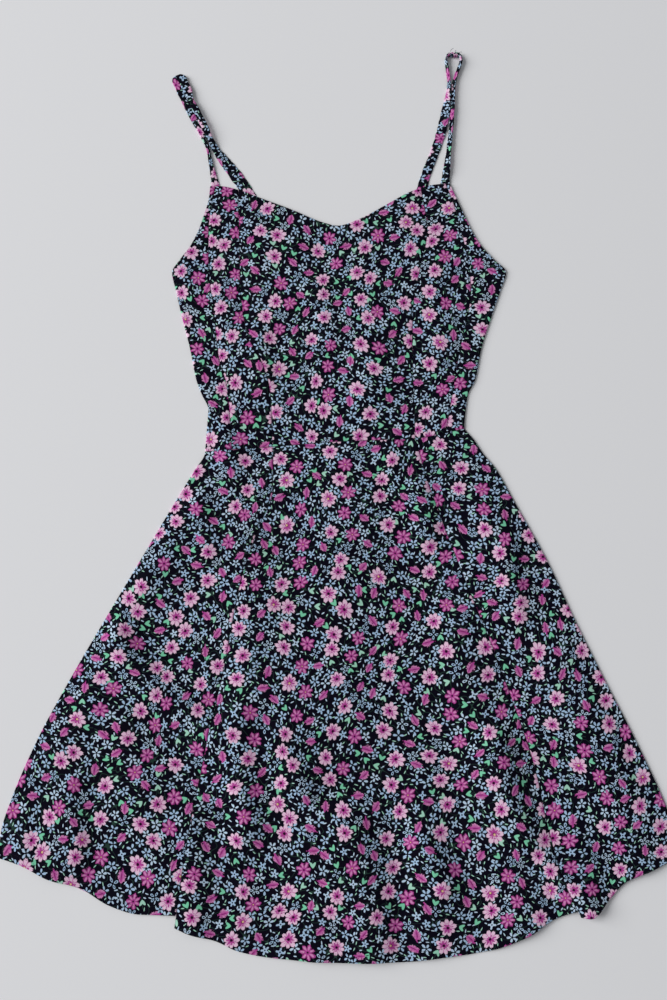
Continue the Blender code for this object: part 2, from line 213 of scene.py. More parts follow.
# %% Ridges and troughs
# start across, start height, end across, end height, half width, height
FOLDS = (
    (-196, -50, -318, -330, 26, 3.4),
    (-262, -250, -200, -440, 30, 4.6),
    (-120, -70, -60, -330, 34, 4.0),
    (-40, -300, -22, -530, 30, 5.2),
    (-12, 0, 6, -290, 40, 2.6),
    (128, -180, 196, -500, 24, 4.6),
    (240, -210, 330, -440, 28, 4.4),
    (170, -60, 188, -200, 28, 2.8),
    (-166, -385, -164, -515, 15, 4.4),
    (254, -400, 274, -495, 15, 4.0),
    (88, -330, 96, -530, 26, 2.6),
    (-310, -360, -322, -450, 20, 3.0),
    (22, 250, 34, 90, 30, 2.6),
    (-92, 300, -84, 190, 20, 2.0),
    (-48, 285, -58, 180, 18, 1.8),
    (76, 290, 66, 180, 20, 1.8),
    (118, 250, 112, 140, 16, 2.0),
    (-150, 230, -120, 120, 16, 1.8),
)
CREASES = (
    (-262, -160, -244, -208, 12, 1.5),
    (-270, -110, -214, -190, 13, -1.0),
    (-216, -248, -144, -300, 20, 7.2),
    (-262, -184, -230, -222, 17, 4.6),
    (-238, -100, -150, -232, 9, 0.7),
    (-248, -256, -240, -306, 12, 1.3),
    (-290, -340, -294, -436, 15, 4.2),
    (-292, -320, -272, -432, 8, -0.8),
    (-345, -330, -352, -420, 13, 2.4),
    (-116, -290, -104, -398, 20, 7.6),
    (-114, -210, -118, -270, 15, 2.6),
    (-80, -205, -70, -340, 11, -0.9),
    (-74, -306, -40, -352, 15, 5.0),
    (-60, -322, 2, -366, 10, -0.8),
    (-112, -420, -116, -505, 9, 0.9),
    (-6, -392, -10, -470, 11, 1.2),
    (12, -392, 30, -526, 25, 6.8),
    (60, -400, 62, -516, 12, -1.4),
    (88, -410, 106, -458, 16, 4.8),
    (128, -390, 146, -520, 11, -0.9),
    (172, -310, 203, -410, 19, 6.8),
    (226, -434, 262, -478, 17, 5.2),
    (222, -330, 258, -410, 8, -0.8),
    (300, -300, 338, -400, 9, 1.0),
    (340, -350, 356, -415, 8, 0.9),
    (190, -92, 202, -164, 14, 3.4),
    (150, -40, 212, -150, 9, 0.7),
    (86, -18, 96, -76, 13, 4.2),
    (56, 30, 64, -10, 12, 2.0),
    (40, 4, 30, -60, 8, 0.5),
    (-20, 24, -36, -70, 9, -0.5),
    (-84, 10, -104, -60, 7, 0.6),
    (-168, -34, -156, -98, 13, 3.6),
    (-138, 46, -126, -4, 14, 3.8),
    (-196, 262, -184, 214, 13, 2.4),
    (-184, 222, -138, 216, 7, 0.8),
    (-176, 190, -120, 196, 8, -0.5),
    (176, 236, 140, 250, 9, -0.7),
    (182, 215, 140, 205, 7, 0.8),
    (150, 330, 104, 300, 8, 0.6),
    (-158, 330, -110, 306, 8, 0.6),
    (-160, 60, -96, 74, 8, 0.6),
    (-162, 84, -110, 104, 7, -0.5),
    (144, 62, 92, 74, 8, 0.8),
    (146, 84, 100, 100, 7, -0.5),
    (-104, 166, -93, 112, 15, 4.0),
    (-27, 222, -19, 168, 15, 3.8),
    (-30, 130, 12, 110, 11, 0.6),
    (60, 140, 88, 120, 10, -0.5),
    (64, 322, 44, 290, 10, 0.7),
    (24, 120, 30, 64, 10, 0.9),
)
# greatest height of folds that cross, and the distance from a side in which everything fades out
FOLD_LIMIT = 6.5
FOLD_FADE = 26.0


def ridges(rows, across, height):
    """Height of all the ridges of a table at a place, each rounded like a bell."""
    total = np.zeros(np.shape(across))
    for start_x, start_y, end_x, end_y, half_width, ridge in rows:
        run_x, run_y = end_x - start_x, end_y - start_y
        along = ((across - start_x) * run_x + (height - start_y) * run_y) / (run_x ** 2 + run_y ** 2)
        along = np.clip(along, 0.0, 1.0)
        off_x, off_y = across - start_x - along * run_x, height - start_y - along * run_y
        total += ridge * np.exp(-(off_x ** 2 + off_y ** 2) / half_width ** 2)
    return total


print("large folds:", len(FOLDS), "small creases:", len(CREASES))

# %% Waviness
# wave length, direction in degrees, start of the wave in degrees, height
RIPPLES = (
    (71, 12, 40, 0.16), (53, 74, 200, 0.12), (37, 128, 95, 0.10), (29, 31, 310, 0.07),
    (23, 97, 15, 0.06), (17, 158, 140, 0.045), (13.5, 60, 250, 0.035),
)


def ripple(across, height):
    """Small waviness, stronger in some places than in others."""
    total = np.zeros(np.shape(across))
    for length, direction, start, size in RIPPLES:
        way, start = math.radians(direction), math.radians(start)
        run = across * math.cos(way) + height * math.sin(way)
        side = height * math.cos(way) - across * math.sin(way)
        total += size * np.sin(TAU * run / length + start + 1.3 * np.sin(side / (1.7 * length)))
    patches = 1.0 + 0.5 * np.sin(across / 61.0 + 1.0) * np.sin(height / 74.0 + 2.0)
    return total * patches


def lie(across, height):
    """Height of the front layer's middle over its lowest lie."""
    from_side = np.minimum(across - left_side(height), right_side(height) - across)
    bend_x = across + 3.0 * np.sin(height / 33.0) + 1.5 * np.sin(height / 12.7 + across / 40.0)
    bend_y = height + 3.0 * np.sin(across / 41.0 + 1.0)
    large = FOLD_LIMIT * np.tanh(ridges(FOLDS, bend_x, height) / FOLD_LIMIT)
    small = ridges(CREASES, bend_x, bend_y) + ripple(across, height)
    return (large + small) * smooth(from_side / FOLD_FADE)


everywhere = np.meshgrid(np.arange(-370, 371, 10), np.arange(-530, 351, 10))
print("front's highest lie in mm:", round(float(lie(*everywhere).max()), 1))

# %% [markdown]
# ## A sewn piece of cloth
# Each piece is a grid of points that follows its own four edges. The rows are closer together beside an
# edge, since that is where sewn cloth changes shape: it dips into a seam, puckers beside it, and is
# thicker where a hem or a facing is turned under. Solidify then gives the grid the thickness of the cloth.
# The cloth keeps two UV maps: one in metres for the print, and one that holds how far each point is from a
# finished edge and from a seam.

# %% Sizes of the cloth
CLOTH = 0.7
# height of the middle of the cloth's thickness: front, back, and the lowest that the front comes down to
FRONT_MIDDLE = 2.1
BACK_MIDDLE = 0.42
LOWEST_MIDDLE = 1.4
LOWEST_EDGE = 0.5
# room for the thread between two pieces, and how far the back stops short of the sides
SEAM_GAP = 0.3
BACK_INSET = 2.0
# how wide the turned hem and the facing of the neckline are
HEM_DEPTH = 9.0
FACING_DEPTH = 6.0
# usual distance between rows, and a distance that stands for far away
GRID = 4.0
FAR = 60.0
# distances from an edge at which there is always a row
BESIDE_SEAM = (0.0, 0.5, 1.2, 2.2, 3.8, 6.0)
BESIDE_HEM = (0.0, 0.5, 1.4, 3.0, 5.0, 7.0, 8.4, 9.2, 10.0, 12.0)
BESIDE_SIDE = (0.0, 0.12, 0.45, 1.2, 2.6, 4.6)
BESIDE_FLAT = (0.0, 2.0)
# how far the front is turned down over the back at those distances from the side
SIDE_DROP = (1.8, 0.96, 0.36, 0.0, 0.0, 0.0)
# height at which that ends, since the front is single above the back's top edge
TURN_TOP = 248.0
TURN_BLEND = 12.0


def mix(first, second, share):
    """A share of the second value, and the rest of the first."""
    return first * (1.0 - share) + second * share


def places(length, near_start, near_end, nominal):
    """Rows across a length: fixed ones beside both edges, and even ones between them."""
    start, end = np.array(near_start), np.array(near_end)
    count = max(2, math.ceil((nominal - start[-1] - end[-1]) / GRID))
    share = np.arange(1, count) / count
    length = np.asarray(length, float)[..., None]
    fit = np.minimum(1.0, 0.7 * length / (start[-1] + end[-1]))
    start, end = fit * start, fit * end[::-1]
    between = start[..., -1:] + (length - start[..., -1:] - end[..., :1]) * share
    return np.concatenate([start, between, length - end], axis=-1)


print("rows beside a hem:", len(BESIDE_HEM))


# %% Flat grid between four edges
def flat_grid(left, right, bottom, top, near):
    """Distance across and height of each point of a piece, and its distance from its four edges."""
    low = meeting(left, bottom), meeting(right, bottom)
    high = meeting(left, top), meeting(right, top)
    tall = max(high[0] - low[0], high[1] - low[1])
    climb = places(tall, near["bottom"], near["top"], tall)[:, None] / tall
    heights = mix(low[0], high[0], climb), mix(low[1], high[1], climb)
    start, end = left(heights[0]), right(heights[1])
    widest = float((end - start).max())
    across = start + places((end - start)[:, 0], near["left"], near["right"], widest)
    share = (across - start) / (end - start)
    below = bottom(mix(left(low[0]), right(low[1]), share)) - mix(low[0], low[1], share)
    above = top(mix(left(high[0]), right(high[1]), share)) - mix(high[0], high[1], share)
    height = mix(heights[0], heights[1], share) + mix(below, above, climb)
    edges = {
        "left": across - start,
        "right": end - across,
        "bottom": climb * (top(across) - bottom(across)),
        "top": (1.0 - climb) * (top(across) - bottom(across)),
    }
    return across, height, edges


# %% How sewing shapes the cloth
def sewn(across, height, edges, kinds):
    """Extra height of the cloth beside its seams and its finished edges."""
    extra = np.zeros(np.shape(across))
    for side, kind in kinds.items():
        away = edges[side]
        along = height if side in ("left", "right") else across
        if kind == "seam":
            # short puckers a few millimetres away, and a dip down to the thread
            pucker = np.sin(TAU * along / 10.3 + 2.2 * np.sin(along / 19.0))
            extra += 0.22 * pucker * np.exp(-(away / 7.0) ** 2) * smooth(away / 2.0)
            extra -= 0.42 * np.exp(-(away / 1.5) ** 2)
        if kind == "hem":
            # longer waves, and the step of the cloth that is turned under, rounded off at the fold
            wave = np.sin(across / 8.3 + 2.0 * np.sin(across / 27.0))
            extra += 0.35 * wave * np.exp(-(away / 20.0) ** 2)
            extra += 0.35 * (1.0 - smooth((away - HEM_DEPTH + 0.6) / 1.2)) - 0.3 * np.exp(-(away / 0.7) ** 2)
        if kind == "facing":
            extra += 0.3 * (1.0 - smooth((away - FACING_DEPTH) / 2.0)) - 0.3 * np.exp(-(away / 0.8) ** 2)
    return extra


def side_drop(away, height):
    """How far the front is turned down over the back beside a side edge."""
    drop = np.interp(away, BESIDE_SIDE, SIDE_DROP)
    return drop * smooth((TURN_TOP - height) / TURN_BLEND)


# %% Cloth mesh with its UV maps
def cloth_mesh(name, points, print_map, edge_map):
    """A grid of points as a mesh, with a map in metres for the print and one for what is near."""
    rows, columns = points.shape[:2]
    index = np.arange(rows * columns).reshape(rows, columns)
    faces = np.stack([index[:-1, :-1], index[:-1, 1:], index[1:, 1:], index[1:, :-1]], axis=-1).reshape(-1, 4)
    mesh = bpy.data.meshes.new(name)
    mesh.from_pydata((points.reshape(-1, 3) * MM).tolist(), [], faces.tolist())
    for title, values in (("cloth", print_map), ("edges", edge_map)):
        layer = mesh.uv_layers.new(name=title)
        layer.data.foreach_set("uv", (values.reshape(-1, 2)[faces.ravel()] * MM).ravel())
    mesh.shade_smooth()
    return placed(name, mesh)


def smallest_cloth(across, height):
    """Width and length in metres of the smallest oblong of cloth that a piece can be cut from."""
    oblongs = []
    for turn in np.radians(np.arange(-45, 45, 1)):
        wide = across * math.cos(turn) - height * math.sin(turn)
        long = across * math.sin(turn) + height * math.cos(turn)
        oblongs.append((float(np.ptp(wide)) * MM, float(np.ptp(long)) * MM))
    return min(oblongs, key=lambda sides: sides[0] * sides[1])


# %% [markdown]
# ## Cutting the pieces
# A printed cloth is cut without regard to its flowers, so the print breaks at every seam. Each piece
# therefore has its own place and turn on the printed cloth. A flared skirt piece is cut with the grain
# down its middle, which turns the print of the side pieces outwards.


def cloth_piece(name, lines, bottom, top, kinds, place_on_cloth, middle=FRONT_MIDDLE, flat=False):
    """A cut piece between its lines, laid at its place, with the thickness of the cloth."""
    half = SEAM_GAP / 2
    inset = {"seam": half, "turned": CLOTH / 2, "back": BACK_INSET}
    left = lambda height: lines[0](height) + inset[kinds["left"]]
    right = lambda height: lines[1](height) - inset[kinds["right"]]
    low = (lambda place: bottom(place) + half) if kinds["bottom"] == "seam" else bottom
    high = (lambda place: top(place) - half) if kinds["top"] == "seam" else top
    rows = {
        "seam": BESIDE_SEAM, "turned": BESIDE_SIDE, "back": BESIDE_FLAT,
        "hem": BESIDE_HEM, "facing": BESIDE_HEM,
    }
    near = {side: BESIDE_FLAT if flat else rows[kind] for side, kind in kinds.items()}
    across, height, edges = flat_grid(left, right, low, high, near)
    lift = np.full(across.shape, middle)
    if not flat:
        lift = np.maximum(middle + lie(across, height) + sewn(across, height, edges, kinds), LOWEST_MIDDLE)
        for side in ("left", "right"):
            if kinds[side] == "turned":
                lift = np.maximum(lift - side_drop(edges[side], height), LOWEST_EDGE)
    points = np.stack([across, height, lift], axis=-1)
    shift_x, shift_y, turn = place_on_cloth
    way = math.radians(turn)
    on_cloth = np.stack([across * math.cos(way) - height * math.sin(way) + shift_x,
                         across * math.sin(way) + height * math.cos(way) + shift_y], axis=-1)
    finished = [edges[side] for side, kind in kinds.items() if kind in ("hem", "facing")]
    seams = [edges[side] for side, kind in kinds.items() if kind == "seam"]
    nearest = [np.minimum.reduce(group + [np.full(across.shape, FAR)]) for group in (finished, seams)]
    piece = cloth_mesh(name + "_cloth", points, on_cloth, np.stack(nearest, axis=-1))
    wall = piece.modifiers.new("thickness", "SOLIDIFY")
    wall.thickness, wall.offset, wall.use_even_offset = CLOTH * MM, 0.0, True
    smallest_cloth(across, height)
    return piece


# %% Front of the bodice
# name, place across the printed cloth, place along it, turn in degrees
BODICE_CUTS = (
    ("bodice_side_left", 612, 95, 7),
    ("bodice_front_left", 133, 870, -4),
    ("bodice_front_centre", 318, 411, 0),
    ("bodice_front_right", 931, 262, 5),
    ("bodice_side_right", 47, 527, -8),
)
cloth = {}


def side_kinds(index, count):
    """The outer pieces of a row turn down at the sides, and the rest is joined by seams."""
    return {"left": "turned" if index == 0 else "seam", "right": "turned" if index == count - 1 else "seam"}


for index, (name, *cut) in enumerate(BODICE_CUTS):
    kinds = {**side_kinds(index, len(BODICE_CUTS)), "bottom": "seam", "top": "facing"}
    cloth[name] = cloth_piece(name, bodice_lines[index:index + 2], waist, neckline, kinds, cut)

# %% Front of the skirt
SKIRT_CUTS = (
    ("skirt_front_left", HEM_LEFT, 1240, 377, 22),
    ("skirt_front_centre", HEM_CENTRE, 1873, 640, 0),
    ("skirt_front_right", HEM_RIGHT, 777, 1480, -20),
)
for index, (name, hem, *cut) in enumerate(SKIRT_CUTS):
    kinds = {**side_kinds(index, len(SKIRT_CUTS)), "bottom": "hem", "top": "seam"}
    cloth[name] = cloth_piece(name, skirt_lines[index:index + 2], curve(hem), waist, kinds, cut)

# %% Back, flat on the surface
BACK_TOP = 255.0
back_top = lambda place: BACK_TOP + 0.0 * place
BACK_CUTS = (
    ("bodice_back", waist, back_top, {"bottom": "seam", "top": "facing"}, (2210, 118, 0)),
    ("skirt_back", curve(HEM_BACK), waist, {"bottom": "hem", "top": "seam"}, (2950, 905, 0)),
)
for name, bottom, top, kinds, cut in BACK_CUTS:
    kinds = {"left": "back", "right": "back", **kinds}
    cloth[name] = cloth_piece(name, (left_side, right_side), bottom, top, kinds, cut, BACK_MIDDLE, True)
print("pieces so far:", len(cloth))

# %% [markdown]
# ## The straps
# A thin strap is a strip of cloth folded lengthwise and turned, so it is a soft flat tube. The left one
# lies folded back on itself, and the right one leans on its edge and turns back in a narrow loop, as a
# strap does when a dress is laid down without care. Each is lofted through a table of sections, which gives
# its width, its thickness, how far it leans over and which way it points. Where a strap is thick its cloth
# lies double, with a dent along its middle, and where it is thicker still it is bunched and gathered. The
# print has to count that cloth too, so its map runs further there. Both straps pass under the front and
# are sewn to the top of the back.

# %% Tables of the straps
# across, height, clear below, width, thickness, lean in degrees, direction across in degrees
STRAP_LEFT_UP = (
    (-151.5, 336, 0, 12, 1.1, 0, 6), (-154.0, 356, 0, 10, 1.1, 0, 7), (-157.9, 375, 0, 6.8, 2.4, 0, 10),
    (-161.4, 391, 0, 4.9, 3.0, 0, 13), (-164.0, 404, 0, 4.6, 3.0, 0, 17),
    (-168.0, 414, 0, 5.6, 3.0, 0, 22), (-173.5, 427, 0, 7.0, 2.8, 0, 26),
    (-181.0, 441, 0, 9.0, 2.2, 0, 27), (-189.0, 457, 0, 9.0, 2.2, 0, 26),
    (-195.0, 471, 0, 10, 2.0, 0, 25), (-200.7, 485, 0, 11.5, 1.6, 0, 26),
    (-205.5, 496, 0, 11.5, 1.5, 0, 27),
)
STRAP_LEFT_DOWN = (
    (-198.5, 497, 2.0, 11.5, 1.5, 0, 27), (-192.3, 484, 2.2, 11.5, 1.6, 0, 27),
    (-188.6, 475, 2.6, 10.5, 1.8, 0, 27), (-186.4, 467, 2.8, 8.2, 2.0, 0, 27),
    (-180.6, 456, 3.0, 9.0, 2.2, 0, 27), (-173.5, 442, 3.4, 9.0, 2.2, 0, 28),
    (-166.5, 428, 3.6, 8.5, 2.3, 0, 30), (-160.5, 414, 2.4, 8.0, 2.3, 0, 33),
    (-154.0, 402, 0.3, 9.5, 2.0, 0, 36), (-144.6, 389, 0, 13, 1.4, 0, 39),
    (-130.8, 371, 0, 15.5, 1.2, 0, 37), (-116.6, 350, 0, 15.5, 1.1, 0, 35),
    (-98.0, 318, 0, 14, 1.1, 0, 30), (-80.0, 288, 0, 14, 1.1, 0, 18), (-75.0, 272, 0, 14, 1.1, 0, 6),
    (-74.0, 264, 0, 14, 1.1, 0, 0), (-74.0, 260, 0, 14, 1.1, 0, 0), (-74.0, 255.3, 0, 14, 1.1, 0, 0),
)
STRAP_RIGHT_UP = (
    (125.0, 338, 0, 13, 1.1, 0, -5), (127.0, 360, 0, 11, 1.2, 6, -5), (129.2, 379, 0, 9.0, 1.8, 20, -5),
    (131.6, 398, 0, 6.9, 2.4, 26, -5), (133.8, 418, 0, 6.0, 2.6, 28, -5),
    (135.4, 431, 0, 5.6, 2.6, 28, -4), (136.5, 443, 0, 6.0, 2.6, 28, -4),
    (137.4, 455, 0, 6.0, 2.6, 28, -4), (138.2, 468, 0, 5.6, 2.6, 28, -3),
    (139.0, 480, 0, 5.5, 2.6, 28, -3), (140.2, 491, 0, 5.2, 2.6, 28, -10),
    (143.2, 502, 0, 5.0, 2.5, 30, -20), (147.2, 513, 0, 4.8, 2.7, 40, -14),
    (149.4, 521.5, 0, 4.8, 4.0, 72, 0), (147.8, 527.4, 0, 5.0, 5.6, 90, 0),
    (144.0, 528.9, 0, 5.0, 6.6, 90, 0), (140.4, 528.2, 0, 5.4, 7.0, 90, 0),
    (136.6, 529.1, 0, 5.0, 6.4, 90, 0), (133.0, 527.6, 0, 5.0, 5.4, 90, 0),
    (130.8, 521.5, 0, 4.8, 3.6, 72, 0), (131.7, 513, 0, 4.8, 2.7, 40, -4),
    (133.1, 502, 0, 5.0, 2.5, 30, -6), (134.0, 491, 0, 5.2, 2.6, 28, -8),
    (133.2, 480, 0, 6.1, 2.6, 26, -10), (131.5, 468, 0, 8.4, 2.2, 20, -12),
    (129.4, 455, 0, 10.8, 1.6, 12, -14), (127.2, 443.5, 0, 12, 1.5, 6, -14),
    (124.8, 432, 0, 12.2, 1.5, 3, -15), (122.0, 421.5, 0, 12.2, 1.4, 0, -17),
    (118.2, 409.5, 0, 11.6, 1.3, 0, -19), (112.4, 393, 0, 11.4, 1.3, 0, -21),
    (105.0, 374, 0, 12, 1.2, 0, -19), (99.8, 357, 0, 12.4, 1.1, 0, -17),
    (91.0, 325, 0, 14, 1.1, 0, -15), (84.0, 292, 0, 14, 1.1, 0, -12), (81.5, 272, 0, 14, 1.1, 0, -3),
    (81.0, 264, 0, 14, 1.1, 0, 0), (81.0, 260, 0, 14, 1.1, 0, 0), (81.0, 255.3, 0, 14, 1.1, 0, 0),
)
# sections between two rows of a table, points round a section, and room over the floor
STRAP_STEPS = 6
STRAP_ROUND = 16
STRAP_FLOOR_GAP = 0.1
# thickness from which the cloth is double, with the cloth and the dent that this adds
DOUBLE_FROM, DOUBLE_BLEND, DOUBLE_PRINT, DOUBLE_DENT = 2.0, 0.8, 0.6, 0.5
# thickness from which it is bunched too, with the length of cloth that this adds
BUNCH_FROM, BUNCH_BLEND, BUNCH_GATHER = 3.1, 1.0, 1.4
# the tight fold at the top of the left strap
NOSE_STEPS = 8
NOSE_REACH = 5.0
NOSE_NARROWING = 0.3
# how square a section is across its width and across its thickness, and the grain of a strap in degrees
STRAP_SQUARE = (0.55, 0.7)
STRAP_GRAIN = 45.0
print("strap sections:", len(STRAP_LEFT_UP) + len(STRAP_LEFT_DOWN), len(STRAP_RIGHT_UP))


# %% From a table to sections
def smooth_rows(rows, steps):
    """Rows of a table with steps added between them on a smooth run."""
    table = np.array(rows, float)
    result = []
    for index in range(len(table) - 1):
        a, b = table[max(index - 1, 0)], table[index]
        c, d = table[index + 1], table[min(index + 2, len(table) - 1)]
        for part in np.arange(steps) / steps:
            result.append(0.5 * (2 * b + (c - a) * part + (2 * a - 5 * b + 4 * c - d) * part ** 2
                                 + (3 * b - a - 3 * c + d) * part ** 3))
    return result + [table[-1]]


def strap_section(row):
    """Centre, side direction, width and thickness of the strap at one row of its table."""
    across, height, clear, width, thickness, lean, direction = row
    lean, direction = math.radians(max(lean, 0.0)), math.radians(direction)
    raised = width / 2 * math.sin(lean) + thickness / 2 * math.cos(lean)
    centre = Vector((across, height, STRAP_FLOOR_GAP + max(clear, 0.0) + raised))
    flat = math.cos(lean)
    side = Vector((math.cos(direction) * flat, math.sin(direction) * flat, math.sin(lean)))
    return centre, side, width, thickness


def fold_sections(below, above):
    """Sections of the tight fold where the strap turns back over itself."""
    (centre_below, side, width, thickness), centre_above = below, above[0]
    forward = Vector((-side.y, side.x, 0.0))
    middle, shift = (centre_below + centre_above) / 2, (centre_above - centre_below) / 2
    sections = []
    for step in range(1, NOSE_STEPS + 1):
        angle = math.pi * (step / (NOSE_STEPS + 1) - 0.5)
        slide = shift * math.sin(angle)
        ahead = math.cos(angle)
        narrow = width * (1.0 - NOSE_NARROWING * ahead ** 2)
        sections.append((middle + slide + forward * NOSE_REACH * ahead, side, narrow, thickness))
    return sections


# %% Rings of a strap
def crumpled(reach, bunched):
    """Share of its width and of its thickness that a strap keeps at a place along it."""
    width = 1.0 - 0.05 * (1.0 + math.sin(reach / 1.9 + 2.0 * math.sin(reach / 7.0)))
    thickness = 1.0 - 0.10 * (1.0 + math.sin(reach / 2.7 + 1.5 * math.sin(reach / 5.0)))
    width -= 0.07 * bunched * (1.0 + math.sin(reach * 2.6 + 1.0))
    thickness -= 0.16 * bunched * (1.0 + math.sin(reach * 2.1 + math.sin(reach)))
    return width, thickness


def strap_rings(sections):
    """Points round each section, their place on the cloth, and the steps between the sections."""
    centres = [section[0] for section in sections]
    steps = [0.0] + [(b - a).length for a, b in zip(centres, centres[1:])]
    along = np.cumsum(steps)
    angles = np.arange(STRAP_ROUND) * TAU / STRAP_ROUND
    shape = np.stack([np.sign(wave) * np.abs(wave) ** square / 2
                      for wave, square in zip((np.cos(angles), np.sin(angles)), STRAP_SQUARE)], axis=-1)
    rings, print_map, cloth_length = [], [], 0.0
    for index, (centre, side, width, thickness) in enumerate(sections):
        before, after = centres[max(index - 1, 0)], centres[min(index + 1, len(sections) - 1)]
        face = side.cross((after - before).normalized()).normalized()
        bunched = float(smooth((thickness - BUNCH_FROM) / BUNCH_BLEND))
        doubled = float(smooth((thickness - DOUBLE_FROM) / DOUBLE_BLEND))
        crinkle, pinch = crumpled(along[index], bunched)
        dents = np.ones(STRAP_ROUND)
        dents[[STRAP_ROUND // 4, 3 * STRAP_ROUND // 4]] -= DOUBLE_DENT * doubled
        ring = [centre + side * a * width * crinkle + face * b * thickness * pinch * dent
                for (a, b), dent in zip(shape, dents)]
        rings.append([list(point) for point in ring])
        edge = [0.0] + [(ring[(i + 1) % STRAP_ROUND] - ring[i]).length for i in range(STRAP_ROUND)]
        cloth_length += steps[index] * (1.0 + BUNCH_GATHER * bunched)
        print_map.append([(girth * (1.0 + DOUBLE_PRINT * doubled), cloth_length) for girth in np.cumsum(edge)])
    return rings, print_map, steps


# %% Strap mesh
def strap_piece(name, sections, place_on_cloth):
    """A soft flat tube through its sections, closed at both ends, a little crinkled."""
    rings, print_map, steps = strap_rings(sections)
    last = len(rings) - 1
    faces, corners = [], []
    for row in range(last):
        for column in range(STRAP_ROUND):
            after = (column + 1) % STRAP_ROUND
            faces.append([row * STRAP_ROUND + column, row * STRAP_ROUND + after,
                          (row + 1) * STRAP_ROUND + after, (row + 1) * STRAP_ROUND + column])
            corners += [print_map[row][column], print_map[row][column + 1],
                        print_map[row + 1][column + 1], print_map[row + 1][column]]
    for row, order in ((0, range(STRAP_ROUND)), (last, range(STRAP_ROUND - 1, -1, -1))):
        faces.append([row * STRAP_ROUND + column for column in order])
        corners += [print_map[row][column] for column in order]
    mesh = bpy.data.meshes.new(name + "_cloth")
    mesh.from_pydata((np.array(rings).reshape(-1, 3) * MM).tolist(), [], faces)
    way = math.radians(STRAP_GRAIN)
    corners = np.array(corners) @ np.array([[math.cos(way), math.sin(way)], [-math.sin(way), math.cos(way)]])
    mesh.uv_layers.new(name="cloth").data.foreach_set("uv", ((corners + place_on_cloth) * MM).ravel())
    mesh.uv_layers.new(name="edges").data.foreach_set("uv", np.full(corners.size, FAR * MM))
    mesh.shade_smooth()
    work = bmesh.new()
    work.from_mesh(mesh)
    bmesh.ops.recalc_face_normals(work, faces=work.faces)
    work.to_mesh(mesh)
    work.free()
    piece = placed(name + "_cloth", mesh)
    length = float(np.cumsum(steps)[-1]) * MM
    area = sum(step * row[-1][0] / 2 for step, row in zip(steps, print_map)) * MM * MM
    area / length
    return piece


# %% Both straps
left_up = [strap_section(row) for row in smooth_rows(STRAP_LEFT_UP, STRAP_STEPS)]
left_down = [strap_section(row) for row in smooth_rows(STRAP_LEFT_DOWN, STRAP_STEPS)]
right_up = [strap_section(row) for row in smooth_rows(STRAP_RIGHT_UP, STRAP_STEPS)]
cloth["strap_left"] = strap_piece(
    "strap_left", left_up + fold_sections(left_up[-1], left_down[0]) + left_down, (410, 1310))
cloth["strap_right"] = strap_piece("strap_right", right_up, (660, 1755))

# %% [markdown]
# ## Shader maths as plain expressions
# The print is worked out from numbers, not painted, so it has hundreds of small sums in it. Wiring them
# by hand would be unreadable. The small class below wraps a socket and adds a Math node whenever it is
# added, multiplied or compared, so a petal can be written down as the formula that it is.

# %% Wires and a dye bath
class Wire:
    """A number, vector or colour inside a material. Reckoning with it adds nodes."""

    def __init__(self, bath, socket):
        self.bath, self.socket = bath, socket

    def also(self, output):
        return Wire(self.bath, self.socket.node.outputs[output])

    def math(self, operation, *others):
        return self.bath.node("ShaderNodeMath", {"operation": operation}, [self, *others])

    def vector(self, operation, *others, output="Vector"):
        return self.bath.node("ShaderNodeVectorMath", {"operation": operation}, [self, *others], output)

    def length(self):
        return self.vector("LENGTH", output="Value")

    def parts(self):
        first = self.bath.node("ShaderNodeSeparateXYZ", sockets=[self])
        return first, first.also(1), first.also(2)

    def turned(self, angle):
        return self.bath.node("ShaderNodeVectorRotate", {"rotation_type": "Z_AXIS"},
                              {"Vector": self, "Angle": angle})

    def __add__(self, other):
        return self.math("ADD", other)

    def __sub__(self, other):
        return self.math("SUBTRACT", other)

    def __rsub__(self, other):
        return self.bath.node("ShaderNodeMath", {"operation": "SUBTRACT"}, [other, self])

    def __mul__(self, other):
        return self.math("MULTIPLY", other)

    def __truediv__(self, other):
        return self.math("DIVIDE", other)

    def __rtruediv__(self, other):
        return self.bath.node("ShaderNodeMath", {"operation": "DIVIDE"}, [other, self])

    def __pow__(self, other):
        return self.math("POWER", other)

    def __gt__(self, other):
        return self.math("GREATER_THAN", other)

    def __lt__(self, other):
        return self.math("LESS_THAN", other)

    __radd__, __rmul__ = __add__, __mul__


class DyeBath:
    """One material and the nodes in it."""

    def __init__(self, name):
        self.material = bpy.data.materials.new(name)
        self.material.use_nodes = True
        self.tree = self.material.node_tree
        self.cloth = self.tree.nodes["Principled BSDF"]

    def node(self, kind, settings=None, sockets=(), output=0):
        made = self.tree.nodes.new(kind)
        for title, value in (settings or {}).items():
            setattr(made, title, value)
        for place, value in (sockets.items() if isinstance(sockets, dict) else enumerate(sockets)):
            if isinstance(value, Wire):
                self.tree.links.new(value.socket, made.inputs[place])
            else:
                made.inputs[place].default_value = value
        return Wire(self, made.outputs[output])

    def within(self, value, edge, soft):
        """1 where the value is under the edge and 0 where it is over it, with a soft step."""
        return self.node("ShaderNodeMapRange", {"interpolation_type": "SMOOTHSTEP"}, {
            "Value": value, "From Min": edge - soft, "From Max": edge + soft, "To Min": 1.0, "To Max": 0.0})

    def over(self, ground, colour, mask):
        return self.node("ShaderNodeMix", {"data_type": "RGBA"}, {0: mask, 6: ground, 7: colour}, 2)

    def noise(self, place, scale, detail=0.0):
        return self.node("ShaderNodeTexNoise", {"noise_dimensions": "2D"},
                         {"Vector": place, "Scale": scale, "Detail": detail})


